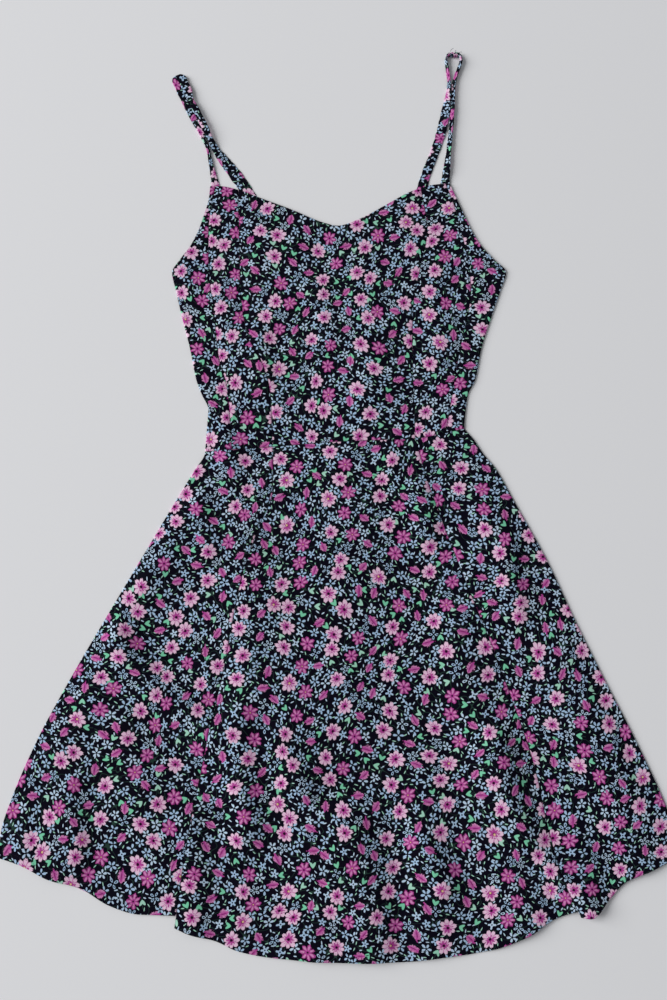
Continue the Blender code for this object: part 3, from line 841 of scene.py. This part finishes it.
def ink(red, green, blue):
    """Colour as seen on a screen, as the amounts of light that a shader reckons with."""
    shares = [value / 255.0 for value in (red, green, blue)]
    return tuple(s / 12.92 if s <= 0.04045 else ((s + 0.055) / 1.055) ** 2.4 for s in shares) + (1.0,)


print("mid grey as an amount of light:", round(ink(128, 128, 128)[0], 3))

# %% [markdown]
# ## The print
# It is a small scattered flower print on near-black navy, of a very common kind. Its motifs are pink
# daisies, ragged magenta flowers, pointed buds, small pale-blue flowers, pairs of mint leaves and short
# pale dashes, with thin dark stems between them. None is copied: each is a formula, and the cloth scatters
# them by a rule. A Voronoi texture gives every point of the cloth the centre of its nearest motif
# and random numbers that belong to that motif. Three such scatters fit into each other: a wide one for
# large motifs, one half as wide for small flowers, and one about half of that for dashes. A small motif looks
# up how near its own centre is to a large one, and is left out if it would be hidden. A dash also keeps
# off the small flowers that are shown, so it fills the bare places between them.

# %% Scattering motifs
# each scatter: distance between motifs, how far they stray from a square grid, and a shift of that grid
WIDE, WIDE_JITTER, WIDE_SHIFT = 25.2, 0.5, 0.0
NARROW, NARROW_JITTER, NARROW_SHIFT = 12.6, 0.5, 4.2
TIGHT, TIGHT_JITTER, TIGHT_SHIFT = 6.0, 0.6, 5.0
# share of daisies and of buds among the large motifs, and the radius or length of each kind
DAISY_SHARE, BUD_SHARE = 0.36, 0.41
DAISY_SIZE, MAGENTA_SIZE, BUD_LENGTH, BUD_ROOM = 9.35, 8.2, 14.0, 5.8
# steps of the kind of motif from column to column and from row to row, and how much of it is random
KIND_STEPS, KIND_CHANCE = (0.4, 0.2), 0.3
# keeps a motif's centre off the borders of its cell, and how much longer or shorter a petal may be
CELL_NUDGE = (0.02, 0.02, 0.0)
UNEVEN_PETALS = 0.07


def scatter(bath, place, pitch, jitter, shift):
    """Centre of the nearest motif, the offset from it, and three random numbers of that motif."""
    moved = place.vector("ADD", (-shift, -shift, 0.0))
    cells = bath.node("ShaderNodeTexVoronoi", {"voronoi_dimensions": "2D"},
                      {"Vector": moved, "Scale": 1.0 / pitch, "Randomness": jitter})
    centre = cells.also("Position").vector("ADD", (shift, shift, 0.0))
    return centre, place.vector("SUBTRACT", centre), cells.also("Color").parts()


def around(offset):
    """Angle and distance of a point from the centre of its motif."""
    across, up, _ = offset.parts()
    return up.math("ARCTAN2", across), offset.length()


def petals(angle, far, count, turn, middle, reach, half, point):
    """Under 1 inside a ring of uneven petals, with the place along and across the nearest petal.

    A petal's middle lies at a distance from the centre. It reaches as far in and out from there, and half
    its width to each side. A point over 0 makes its end narrower, and one under 0 makes it wider.
    """
    round_once = (angle + turn) * (count * (1.0 / TAU))
    far = far * (1.0 + UNEVEN_PETALS * (round_once.math("FLOOR") * 2.4 + turn * 5.0).math("SINE"))
    bend = (round_once.math("FRACT") - 0.5) * TAU / count
    along, across = far * bend.math("COSINE"), far * bend.math("SINE")
    half = half * (1.0 - (point / reach) * (along - middle))
    return ((along - middle) / reach) ** 2 + (across / half) ** 2, along, across


def large_motif(bath, place):
    """Kind of the large motif nearest to a place, the radius it takes up, and how far it is.

    The kind steps on by two fifths from cell to cell across the cloth and by one fifth up it, so that
    equal motifs lie well apart, and a random part of it swaps a few.
    """
    centre, offset, chance = scatter(bath, place, WIDE, WIDE_JITTER, WIDE_SHIFT)
    cell = centre.vector("MULTIPLY", (1.0 / WIDE, 1.0 / WIDE, 0.0)).vector("ADD", CELL_NUDGE)
    column, row, _ = cell.vector("FLOOR").parts()
    kind = (column * KIND_STEPS[0] + row * KIND_STEPS[1] + chance[0] * KIND_CHANCE).math("FRACT")
    daisy = kind < DAISY_SHARE
    bud = kind > 1.0 - BUD_SHARE
    radius = MAGENTA_SIZE + daisy * (DAISY_SIZE - MAGENTA_SIZE) + bud * (BUD_ROOM - MAGENTA_SIZE)
    return offset, chance, daisy, bud, radius, offset.length()


print("large motifs in a square decimetre of cloth:", round((100 / WIDE) ** 2))


# %% Daisies
PALE_PINK, LILAC, ROSE = ink(223, 190, 214), ink(204, 138, 184), ink(190, 106, 166)
MAGENTA, DEEP_MAGENTA = ink(168, 64, 142), ink(112, 36, 90)
HEART, POLLEN = ink(38, 8, 32), ink(220, 184, 146)


def daisy_ink(bath, ground, angle, far, chance, shown, rough):
    """Eight pale petals with a ragged magenta star and a dark heart, a little off the centre.

    The lengths of this flower and the next are shares of its own size.
    """
    size = DAISY_SIZE * (0.93 + 0.1 * chance[2])
    ring, along, across = petals(angle, far, 8, chance[1] * TAU, 0.60 * size, 0.44 * size, 0.28 * size, 0.3)
    inner = (far / (0.68 * size)) ** 2
    away = 1.0 - (angle + chance[0] * TAU).math("COSINE")
    dent = ((along - 1.04 * size) / (0.12 * size)) ** 2 + (across / (0.06 * size)) ** 2
    notch = bath.within(dent, 1.0, 0.3)
    shape = bath.within(ring.math("MINIMUM", inner) + rough * 0.7, 1.0, 0.12) * (1.0 - notch) * shown
    streak = ((along - 0.36 * size) / (0.36 * size)) ** 2 + (across / (0.13 * size)) ** 2
    streak = streak + rough * 1.6 + away * 0.5
    middle = (far / (0.38 * size)) ** 2 + rough * 2.6 + away * 0.25
    petal = bath.over(ROSE, PALE_PINK, bath.within(across.math("ABSOLUTE") / far, 0.3, 0.1))
    petal = bath.over(petal, MAGENTA, bath.within(streak.math("MINIMUM", middle), 1.0, 0.25))
    petal = bath.over(petal, HEART, bath.within(far + away * 0.45, 1.9, 0.35))
    petal = bath.over(petal, POLLEN, bath.within(far, 1.2, 0.3) * (chance[2] > 0.86))
    return bath.over(ground, petal, shape)


# %% Magenta flowers
def magenta_ink(bath, ground, angle, far, chance, shown, rough):
    """Seven ragged petals, darker between them, with a lighter streak along each."""
    size = MAGENTA_SIZE * (0.92 + 0.12 * chance[2])
    ring, along, across = petals(angle, far, 7, chance[1] * TAU, 0.58 * size, 0.44 * size, 0.27 * size, 0.1)
    inner = (far / (0.76 * size)) ** 2
    shape = bath.within(ring.math("MINIMUM", inner) + rough * 1.9, 1.0, 0.16) * shown
    between = bath.within(across.math("ABSOLUTE") / far + rough * 0.3, 0.27, 0.12)
    petal = bath.over(DEEP_MAGENTA, MAGENTA, between.math("MAXIMUM", bath.within(far / size, 0.5, 0.2)))
    streak = ((along - 0.60 * size) / (0.30 * size)) ** 2 + (across / (0.13 * size)) ** 2 + rough * 2.0
    petal = bath.over(petal, LILAC, bath.within(streak, 1.0, 0.6) * 0.85)
    petal = bath.over(petal, HEART, bath.within(far, 1.0, 0.4))
    petal = bath.over(petal, POLLEN, bath.within(far, 0.7, 0.3) * (chance[2] > 0.6))
    return bath.over(ground, petal, shape)


# %% Buds
def bud_ink(bath, ground, offset, chance, shown, rough):
    """A pointed bud that widens to a scalloped crown, on a short stem. Its length runs from 0 to 1."""
    up, across, _ = offset.turned(chance[1] * TAU).parts()
    along = up / BUD_LENGTH + 0.5
    opened = ((along * (math.pi / 1.2)).math("MINIMUM", math.pi / 2)).math("SINE").math("MAXIMUM", 0.0) ** 0.85
    width = (opened * (5.1 - 1.8 * along)).math("MAXIMUM", 0.01)
    crown = 0.88 + 0.09 * (across * 1.7 + chance[2] * 2.0).math("COSINE") - (across / 7.5) ** 2 + rough * 0.5
    sides = bath.within(across.math("ABSOLUTE") / width + rough * 1.6, 1.0, 0.14)
    shape = sides * bath.within(along - crown, 0.0, 0.03) * (along > 0.0) * shown
    streaks = (across * 1.9 + along * 2.6 + rough * 4.0).math("SINE")
    petal = bath.over(MAGENTA, LILAC, bath.within(streaks, -0.3, 0.7) * 0.35)
    rim = 0.6 - across.math("ABSOLUTE") / width + rough
    petal = bath.over(petal, LILAC, bath.within(rim, 0.0, 0.25) * 0.85)
    slit = bath.within(((across - 0.5) / 0.5) ** 2 + ((along - 0.45) / 0.22) ** 2 + rough, 1.0, 0.5) * 0.8
    petal = bath.over(petal, DEEP_MAGENTA, slit)
    ground = bath.over(ground, petal, shape)
    stem = bath.within((across - (along + 0.02) * 2.0).math("ABSOLUTE"), 0.4, 0.15)
    return bath.over(ground, STEM, stem * (along > -0.28) * (along < 0.0) * shown)


# %% Small flowers
BLUE, PALE_BLUE = ink(160, 188, 218), ink(184, 206, 228)
MINT, PALE_MINT = ink(120, 200, 166), ink(160, 208, 190)
STEM, NAVY, NAVY_WORN = ink(36, 58, 52), ink(7, 5, 18), ink(11, 9, 24)


def small_flower_ink(bath, ground, offset, chance, shown):
    """Four or five thin petals round a dark heart.

    On a few flowers the petals are joined in the middle, and on a few they are open rings.
    """
    angle, far = around(offset)
    count = 5.0 - (chance[1] > 0.7)
    size = 4.4 + 1.5 * chance[2]
    ring, along, across = petals(
        angle, far, count, chance[1] * 40.0, 0.60 * size, 0.40 * size, 0.212 * size, -0.25)
    hole = ((along - 0.62 * size) / (0.2 * size)) ** 2 + (across / (0.1 * size)) ** 2
    hole = bath.within(hole, 1.0, 0.4) * (chance[2] > 0.85)
    joined = (far / (0.44 * size)) ** 2 + 10.0 * (chance[2] > 0.22)
    shape = bath.within(ring.math("MINIMUM", joined), 1.0, 0.14) * (1.0 - hole) * shown
    petal = bath.over(BLUE, PALE_BLUE, bath.within((chance[1] * 9.0).math("FRACT"), 0.3, 0.2))
    petal = bath.over(petal, NAVY, bath.within(far, 0.85, 0.25))
    return bath.over(ground, petal, shape)


# %% Leaves and dashes
def leaf_ink(bath, ground, offset, chance, shown):
    """Two leaves side by side on a thin stem, one the mirror of the other."""
    along, across, _ = offset.turned(chance[1] * TAU).parts()
    across = across.math("ABSOLUTE")
    down, out = 0.82 * along - 0.57 * across, 0.57 * along + 0.82 * across
    leaf = ((down - 0.4) / 3.7) ** 2 + ((out - 1.4) / 1.45) ** 2
    shape = bath.within(leaf, 1.0, 0.2) * shown
    petal = bath.over(MINT, PALE_MINT, bath.within((chance[1] * 7.0).math("FRACT"), 0.3, 0.1))
    ground = bath.over(ground, STEM, bath.within(across, 0.35, 0.15) * (along < 0.0) * (along > -5.5) * shown)
    return bath.over(ground, petal, shape)


def dash_ink(bath, ground, offset, chance, shown):
    """A short touch of the brush, pale blue or pale mint."""
    along, across, _ = offset.turned(chance[1] * TAU).parts()
    long, wide = 1.5 + 0.7 * chance[2], 0.46 + 0.2 * chance[0]
    dash = (along / long) ** 2 + (across / wide) ** 2
    colour = bath.over(PALE_BLUE, PALE_MINT, bath.within(chance[0], 0.42, 0.02))
    return bath.over(ground, colour, bath.within(dash, 1.0, 0.3) * shown)


# %% The whole print
# turn of the scatter on the cloth, and how far the motifs drift off its rows
PRINT_TURN = 0.46
PRINT_DRIFT = (14.0, 14.0, 0.0)
# part of a large motif's radius that hides a small one, and what a dash keeps off each of them
HIDDEN = 0.98
DASH_GAP = 0.5
SMALL_FLOWER_ROOM = 4.6
LEAF_SHARE = 0.16


def printed(bath, place):
    """Colour of the print at a place on the cloth, given in millimetres."""
    place = place.turned(PRINT_TURN)
    drift = bath.noise(place, 0.01).also("Color").vector("SUBTRACT", (0.5, 0.5, 0.5))
    place = place.vector("ADD", drift.vector("MULTIPLY", PRINT_DRIFT))
    rough = bath.noise(place, 0.55, 1.0) - 0.5
    ground = bath.over(NAVY, NAVY_WORN, bath.noise(place, 0.05, 2.0))
    stems = (bath.noise(place, 0.075) - 0.5).math("ABSOLUTE")
    ground = bath.over(ground, STEM, bath.within(stems, 0.012, 0.006))

    offset, chance, daisy, bud, radius, far = large_motif(bath, place)
    small_centre, small_offset, small_chance = scatter(bath, place, NARROW, NARROW_JITTER, NARROW_SHIFT)
    *_, small_room, small_far = large_motif(bath, small_centre)
    dash_centre, dash_offset, dash_chance = scatter(bath, place, TIGHT, TIGHT_JITTER, TIGHT_SHIFT)
    *_, dash_room, dash_far = large_motif(bath, dash_centre)
    near_centre, near_offset, _ = scatter(bath, dash_centre, NARROW, NARROW_JITTER, NARROW_SHIFT)
    *_, near_room, near_far = large_motif(bath, near_centre)
    clear = (near_offset.length() > SMALL_FLOWER_ROOM).math("MAXIMUM", near_far < near_room * HIDDEN)

    dashes = (dash_far > dash_room + DASH_GAP) * clear
    ground = dash_ink(bath, ground, dash_offset, dash_chance, dashes)
    small = small_far > small_room * HIDDEN
    leaf = small_chance[0] < LEAF_SHARE
    ground = leaf_ink(bath, ground, small_offset, small_chance, small * leaf)
    ground = small_flower_ink(bath, ground, small_offset, small_chance, small * (1.0 - leaf))

    angle, _ = around(offset)
    ground = bud_ink(bath, ground, offset, chance, bud, rough)
    ground = magenta_ink(bath, ground, angle, far, chance, (1.0 - daisy) * (1.0 - bud), rough)
    return daisy_ink(bath, ground, angle, far, chance, daisy, rough)


# %% [markdown]
# ## The cloth's finish
# It is a light, soft plain weave without gloss. Its blacks stay black, so it hardly reflects, and the ink
# is a little worn in patches. The weave and a slight crepe are too fine to model, and go into a bump map.
# Along the hem and the facings the cloth is double, and a narrow groove marks the stitch line.
# Broad soft patches of painted fold shade, and a painted shadow along each seam, are multiplied into its
# colour.

# %% Printed cloth
WEAVE_PITCH = 0.55


def cloth_finish():
    """The cloth's material. The maps are in metres, and the print is reckoned in millimetres."""
    bath = DyeBath("printed_cloth")
    here = bath.node("ShaderNodeUVMap", {"uv_map": "cloth"})
    place = bath.node("ShaderNodeVectorMath", {"operation": "SCALE"}, {"Vector": here, "Scale": 1.0 / MM})
    from_hem, from_seam, _ = bath.node("ShaderNodeUVMap", {"uv_map": "edges"}).parts()
    from_hem, from_seam = from_hem * (1.0 / MM), from_seam * (1.0 / MM)

    colour = printed(bath, place)
    weft, warp, _ = place.parts()
    weave = (weft * (TAU / WEAVE_PITCH)).math("SINE") * (warp * (TAU / WEAVE_PITCH)).math("SINE")
    # painted shade: broad random light and dark patches that stand in for soft fold shading, the weave's light
    # and dark, and a painted shadow in each seam
    shade = 0.94 + 0.10 * bath.noise(place, 0.018, 2.0) + 0.03 * weave
    shade = shade * (1.0 - 0.4 * bath.within(from_seam, 0.6, 0.6))
    light = bath.node("ShaderNodeCombineXYZ", sockets=[shade, shade, shade])
    colour = bath.node("ShaderNodeMix", {"data_type": "RGBA", "blend_type": "MULTIPLY"},
                       {0: 1.0, 6: colour, 7: light}, 2)
    bath.tree.links.new(colour.socket, bath.cloth.inputs["Base Color"])
    bath.tree.links.new((0.86 + 0.1 * bath.noise(place, 0.3, 2.0)).socket, bath.cloth.inputs["Roughness"])

    groove = bath.within((from_hem - HEM_DEPTH).math("ABSOLUTE"), 0.5, 0.5)
    crepe = bath.noise(place, 0.35, 3.0)
    relief = 0.05 * weave + 0.5 * crepe - 0.5 * groove
    bump = bath.node("ShaderNodeBump", sockets={"Strength": 0.55, "Distance": 0.0005, "Height": relief})
    bath.tree.links.new(bump.socket, bath.cloth.inputs["Normal"])
    bath.cloth.inputs["Specular IOR Level"].default_value = 0.05
    print("nodes in the cloth's material:", len(bath.tree.nodes))
    return bath.material


printed_cloth = cloth_finish()
for piece in cloth.values():
    piece.data.materials.append(printed_cloth)

# %% [markdown]
# ## Stitches
# A hem is held by a row of stitches, and thousands of them would be tedious to place one by one. Geometry
# Nodes take a line that runs along the sewn row, put a point on it at every stitch, and set a short thread
# on each point, turned along the line. The tree's inputs are the real sizes, so the same tree sews all
# three hems. The line is laid on the cloth first, by looking straight down on it.

# %% Stitch tree
STITCH_PITCH, STITCH_LENGTH, THREAD = 2.8, 2.1, 0.34
# a stitch is a ball of a few faces, drawn out along the line by a random share of the length
STITCH_SEGMENTS, STITCH_RINGS = 6, 4
FACES_OF_A_STITCH = STITCH_SEGMENTS * STITCH_RINGS
SHORTEST_STITCH, LONGEST_STITCH, STITCH_SEED = 0.85, 1.1, 11


def thread_finish():
    """Navy sewing thread, a little lighter where its twist catches the light."""
    bath = DyeBath("navy_thread")
    here = bath.node("ShaderNodeTexCoord", output="Object")
    twist = bath.node("ShaderNodeTexNoise", sockets={"Vector": here, "Scale": 1500.0, "Detail": 1.0})
    colour = bath.over(ink(16, 15, 30), ink(34, 33, 52), twist)
    bath.tree.links.new(colour.socket, bath.cloth.inputs["Base Color"])
    bath.cloth.inputs["Roughness"].default_value = 0.7
    bath.cloth.inputs["Specular IOR Level"].default_value = 0.2
    return bath.material


def stitch_tree(thread):
    """Geometry Nodes that sew a row of stitches along a line."""
    tree = bpy.data.node_groups.new("sewn_row", "GeometryNodeTree")
    tree.interface.new_socket("Line", in_out="INPUT", socket_type="NodeSocketGeometry")
    for title, value in (("Pitch", STITCH_PITCH), ("Length", STITCH_LENGTH), ("Thread", THREAD)):
        size = tree.interface.new_socket(title, in_out="INPUT", socket_type="NodeSocketFloat")
        size.default_value = value * MM
    seed = tree.interface.new_socket("Seed", in_out="INPUT", socket_type="NodeSocketInt")
    seed.default_value = STITCH_SEED
    tree.interface.new_socket("Stitches", in_out="OUTPUT", socket_type="NodeSocketGeometry")

    def node(kind, settings=None, **sockets):
        made = tree.nodes.new(kind)
        for title, value in (settings or {}).items():
            setattr(made, title, value)
        for title, value in sockets.items():
            target = made.inputs[title.replace("_", " ")]
            if isinstance(value, bpy.types.NodeSocket):
                tree.links.new(value, target)
            else:
                target.default_value = value
        return made

    given, result = node("NodeGroupInput").outputs, tree.nodes.new("NodeGroupOutput")
    line = node("GeometryNodeMeshToCurve", Mesh=given["Line"])
    spaced = node("GeometryNodeResampleCurve", {"mode": "LENGTH"}, Curve=line.outputs[0], Length=given["Pitch"])
    along = node("GeometryNodeInputTangent")
    turned = node("FunctionNodeAlignRotationToVector", {"axis": "X"}, Vector=along.outputs[0])
    uneven = node("FunctionNodeRandomValue", {"data_type": "FLOAT"}, Seed=given["Seed"])
    uneven.inputs[2].default_value, uneven.inputs[3].default_value = SHORTEST_STITCH, LONGEST_STITCH
    long = node("ShaderNodeMath", {"operation": "MULTIPLY"})
    tree.links.new(uneven.outputs[1], long.inputs[0])
    tree.links.new(given["Length"], long.inputs[1])
    size = node("ShaderNodeCombineXYZ", X=long.outputs[0], Y=given["Thread"], Z=given["Thread"])
    stitch = node("GeometryNodeMeshUVSphere", Segments=STITCH_SEGMENTS, Rings=STITCH_RINGS, Radius=0.5)
    stitches = node("GeometryNodeInstanceOnPoints", Points=spaced.outputs[0], Instance=stitch.outputs[0],
                    Rotation=turned.outputs[0], Scale=size.outputs[0])
    real = node("GeometryNodeRealizeInstances", Geometry=stitches.outputs[0])
    dyed = node("GeometryNodeSetMaterial", Geometry=real.outputs[0], Material=thread)
    tree.links.new(dyed.outputs[0], result.inputs["Stitches"])
    return tree


sewn_row = stitch_tree(thread_finish())
print("nodes in the stitch tree:", len(sewn_row.nodes))


# %% Laying a row of stitches on the cloth
def top_of(piece):
    """The piece's surface as it is shown, to be looked down on."""
    shown = bpy.context.evaluated_depsgraph_get()
    return BVHTree.FromObject(piece, shown)


# height from which the cloth is looked down on, and how deep a stitch sinks into it
LOOKED_FROM = 100.0
STITCH_SUNK = 0.1


def laid_on(surface, path):
    """Points of a path, given across and up the dress, put down on a surface."""
    points = []
    for across, height in path:
        above = Vector((across * MM, height * MM, LOOKED_FROM * MM))
        place = surface.ray_cast(above, Vector((0.0, 0.0, -1.0)))[0]
        if place is not None:
            points.append((place.x, place.y, place.z + (THREAD / 2 - STITCH_SUNK) * MM))
    return points


def sew(name, row, **sizes):
    """A row of points sewn with the stitch tree, as one plain mesh."""
    mesh = bpy.data.meshes.new(name + "_line")
    mesh.from_pydata(row, [(step, step + 1) for step in range(len(row) - 1)], [])
    line = placed(name + "_line", mesh)
    sewing = line.modifiers.new("sewn_row", "NODES")
    sewing.node_group = sewn_row
    for item in sewn_row.interface.items_tree:
        if item.in_out == "INPUT" and item.name in sizes:
            sewing[item.identifier] = sizes[item.name]
    shown = bpy.context.evaluated_depsgraph_get()
    made = bpy.data.meshes.new_from_object(line.evaluated_get(shown), depsgraph=shown)
    bpy.data.objects.remove(line)
    made.name = name
    made.shade_smooth()
    print(name, "stitches:", round(len(made.polygons) / FACES_OF_A_STITCH))
    return placed(name, made)


# %% Hem stitches
bpy.context.view_layer.update()
HEM_STEP = 1.5
# piece, its hem, and where its row of stitches starts and ends
HEM_ROWS = (
    ("skirt_front_left", HEM_LEFT, -368, -184),
    ("skirt_front_centre", HEM_CENTRE, -176, 250),
    ("skirt_front_right", HEM_RIGHT, 262, 366),
)
sewing = {}
for name, hem, start, end in HEM_ROWS:
    edge, surface = curve(hem), top_of(cloth[name])
    path = [(place, float(edge(place)) + HEM_DEPTH) for place in np.arange(start, end, HEM_STEP)]
    sewing[name] = sew("hem_stitches_" + name.split("_")[-1], laid_on(surface, path), Seed=STITCH_SEED)

# %% [markdown]
# ## Loose threads
# The top of the right strap ends in a bunched tuck with a frayed end of thread. A thread is a thin tube
# along a smooth curve. A few short ones, each with its own bend, are enough to look frayed.

# %% Frayed end
FRAY_RADIUS, FRAY_STEPS = 0.2, 8
# start, bend and end of each thread, each as its place across, up the dress and over the surface
FRAYED = (
    ((136.4, 531.4, 4.0), (137.0, 533.8, 5.4), (139.8, 535.4, 5.8)),
    ((142.6, 531.2, 3.8), (142.0, 532.8, 4.6), (143.4, 533.6, 4.2)),
    ((147.0, 529.8, 4.0), (148.8, 531.4, 4.8), (150.4, 531.2, 3.8)),
)


def loose_threads():
    """The threads as one plain mesh."""
    line = bpy.data.curves.new("frayed_threads", "CURVE")
    line.dimensions, line.bevel_depth, line.bevel_resolution = "3D", FRAY_RADIUS * MM, 1
    line.use_fill_caps, line.resolution_u = True, FRAY_STEPS
    for bends in FRAYED:
        thread = line.splines.new("BEZIER")
        thread.bezier_points.add(len(bends) - 1)
        for point, place in zip(thread.bezier_points, bends):
            point.co = Vector(place) * MM
            point.handle_left_type = point.handle_right_type = "AUTO"
    drawn = placed("drawn", line)
    shown = bpy.context.evaluated_depsgraph_get()
    mesh = bpy.data.meshes.new_from_object(drawn.evaluated_get(shown), depsgraph=shown)
    bpy.data.objects.remove(drawn)
    mesh.materials.clear()
    mesh.materials.append(bpy.data.materials["navy_thread"])
    mesh.shade_smooth()
    return placed("frayed_threads", mesh)


frayed = loose_threads()
print("faces in the frayed end:", len(frayed.data.polygons))

# %% [markdown]
# ## What each piece stands for
# The imported model knows the dress as solids, and each piece of cloth takes the place of one of them.

# %% Riding and replacing
def rests_on(name):
    """The front lies on the back of the same part of the dress, and all else lies on the floor."""
    part, *side = name.split("_")
    return [part + "_back"] if "front" in side or (part == "bodice" and "side" in side) else ["floor"]


for piece in [*cloth.values(), *sewing.values(), frayed]:
    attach(piece, "root")
for name, piece in cloth.items():
    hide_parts(name)
    extra = [sewing[name]] if name in sewing else [frayed] if name == "strap_right" else []
    rests_on(name)

# %% [markdown]
# ## Floor and light
# The dress lies on a plain pale surface in soft light from a large window. One large lamp stands far off to
# the left and low, so its light grazes the cloth: each fold gets a bright side and a soft dark one, and the
# straps get a faint shadow on their right. A lamp overhead would make the cloth look flat. A pale sky fills
# the shadows.

# %% Floor
FLOOR_INK = ink(229, 230, 234)
FLOOR_REACH = 4.0
floor_mesh = bpy.data.meshes.new("floor")
floor_corners = [(x * FLOOR_REACH, y * FLOOR_REACH, 0.0) for x, y in ((-1, -1), (1, -1), (1, 1), (-1, 1))]
floor_mesh.from_pydata(floor_corners, [], [(0, 1, 2, 3)])
floor = placed("floor", floor_mesh)
floor_bath = DyeBath("pale_floor")
floor_bath.cloth.inputs["Base Color"].default_value = FLOOR_INK
floor_bath.cloth.inputs["Roughness"].default_value = 0.9
floor_bath.cloth.inputs["Specular IOR Level"].default_value = 0.1
floor_mesh.materials.append(floor_bath.material)
floor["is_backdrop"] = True

# %% Light
# place in metres, turned towards the dress, power in watts and side in metres
WINDOW_PLACE = Vector((-9.9, 1.6, 5.5))
WINDOW_POWER, WINDOW_SIZE, WINDOW_COLOUR = 1650.0, 7.5, (1.0, 0.99, 0.97)
ROOM_STRENGTH, ROOM_COLOUR = 0.27, (0.97, 0.985, 1.0, 1.0)

lamp = bpy.data.lights.new("window", "AREA")
lamp.energy, lamp.size, lamp.color = WINDOW_POWER, WINDOW_SIZE, WINDOW_COLOUR
window = placed("window", lamp)
window.location = WINDOW_PLACE
window.rotation_euler = (-WINDOW_PLACE).to_track_quat("-Z", "Y").to_euler()
world = bpy.data.worlds.new("room")
world.use_nodes = True
sky = world.node_tree.nodes["Background"]
sky.inputs["Color"].default_value = ROOM_COLOUR
sky.inputs["Strength"].default_value = ROOM_STRENGTH
bpy.context.scene.world = world
bpy.context.scene.view_settings.view_transform = "Standard"
print("lamp's height in metres:", round(window.location.z, 2))

# %% Sizes, and the end
visual_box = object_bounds()
for title, box in (("CAD", cad_box), ("visual", visual_box)):
    print(title, "box in mm:", [[round(value / MM, 1) for value in corner] for corner in box])
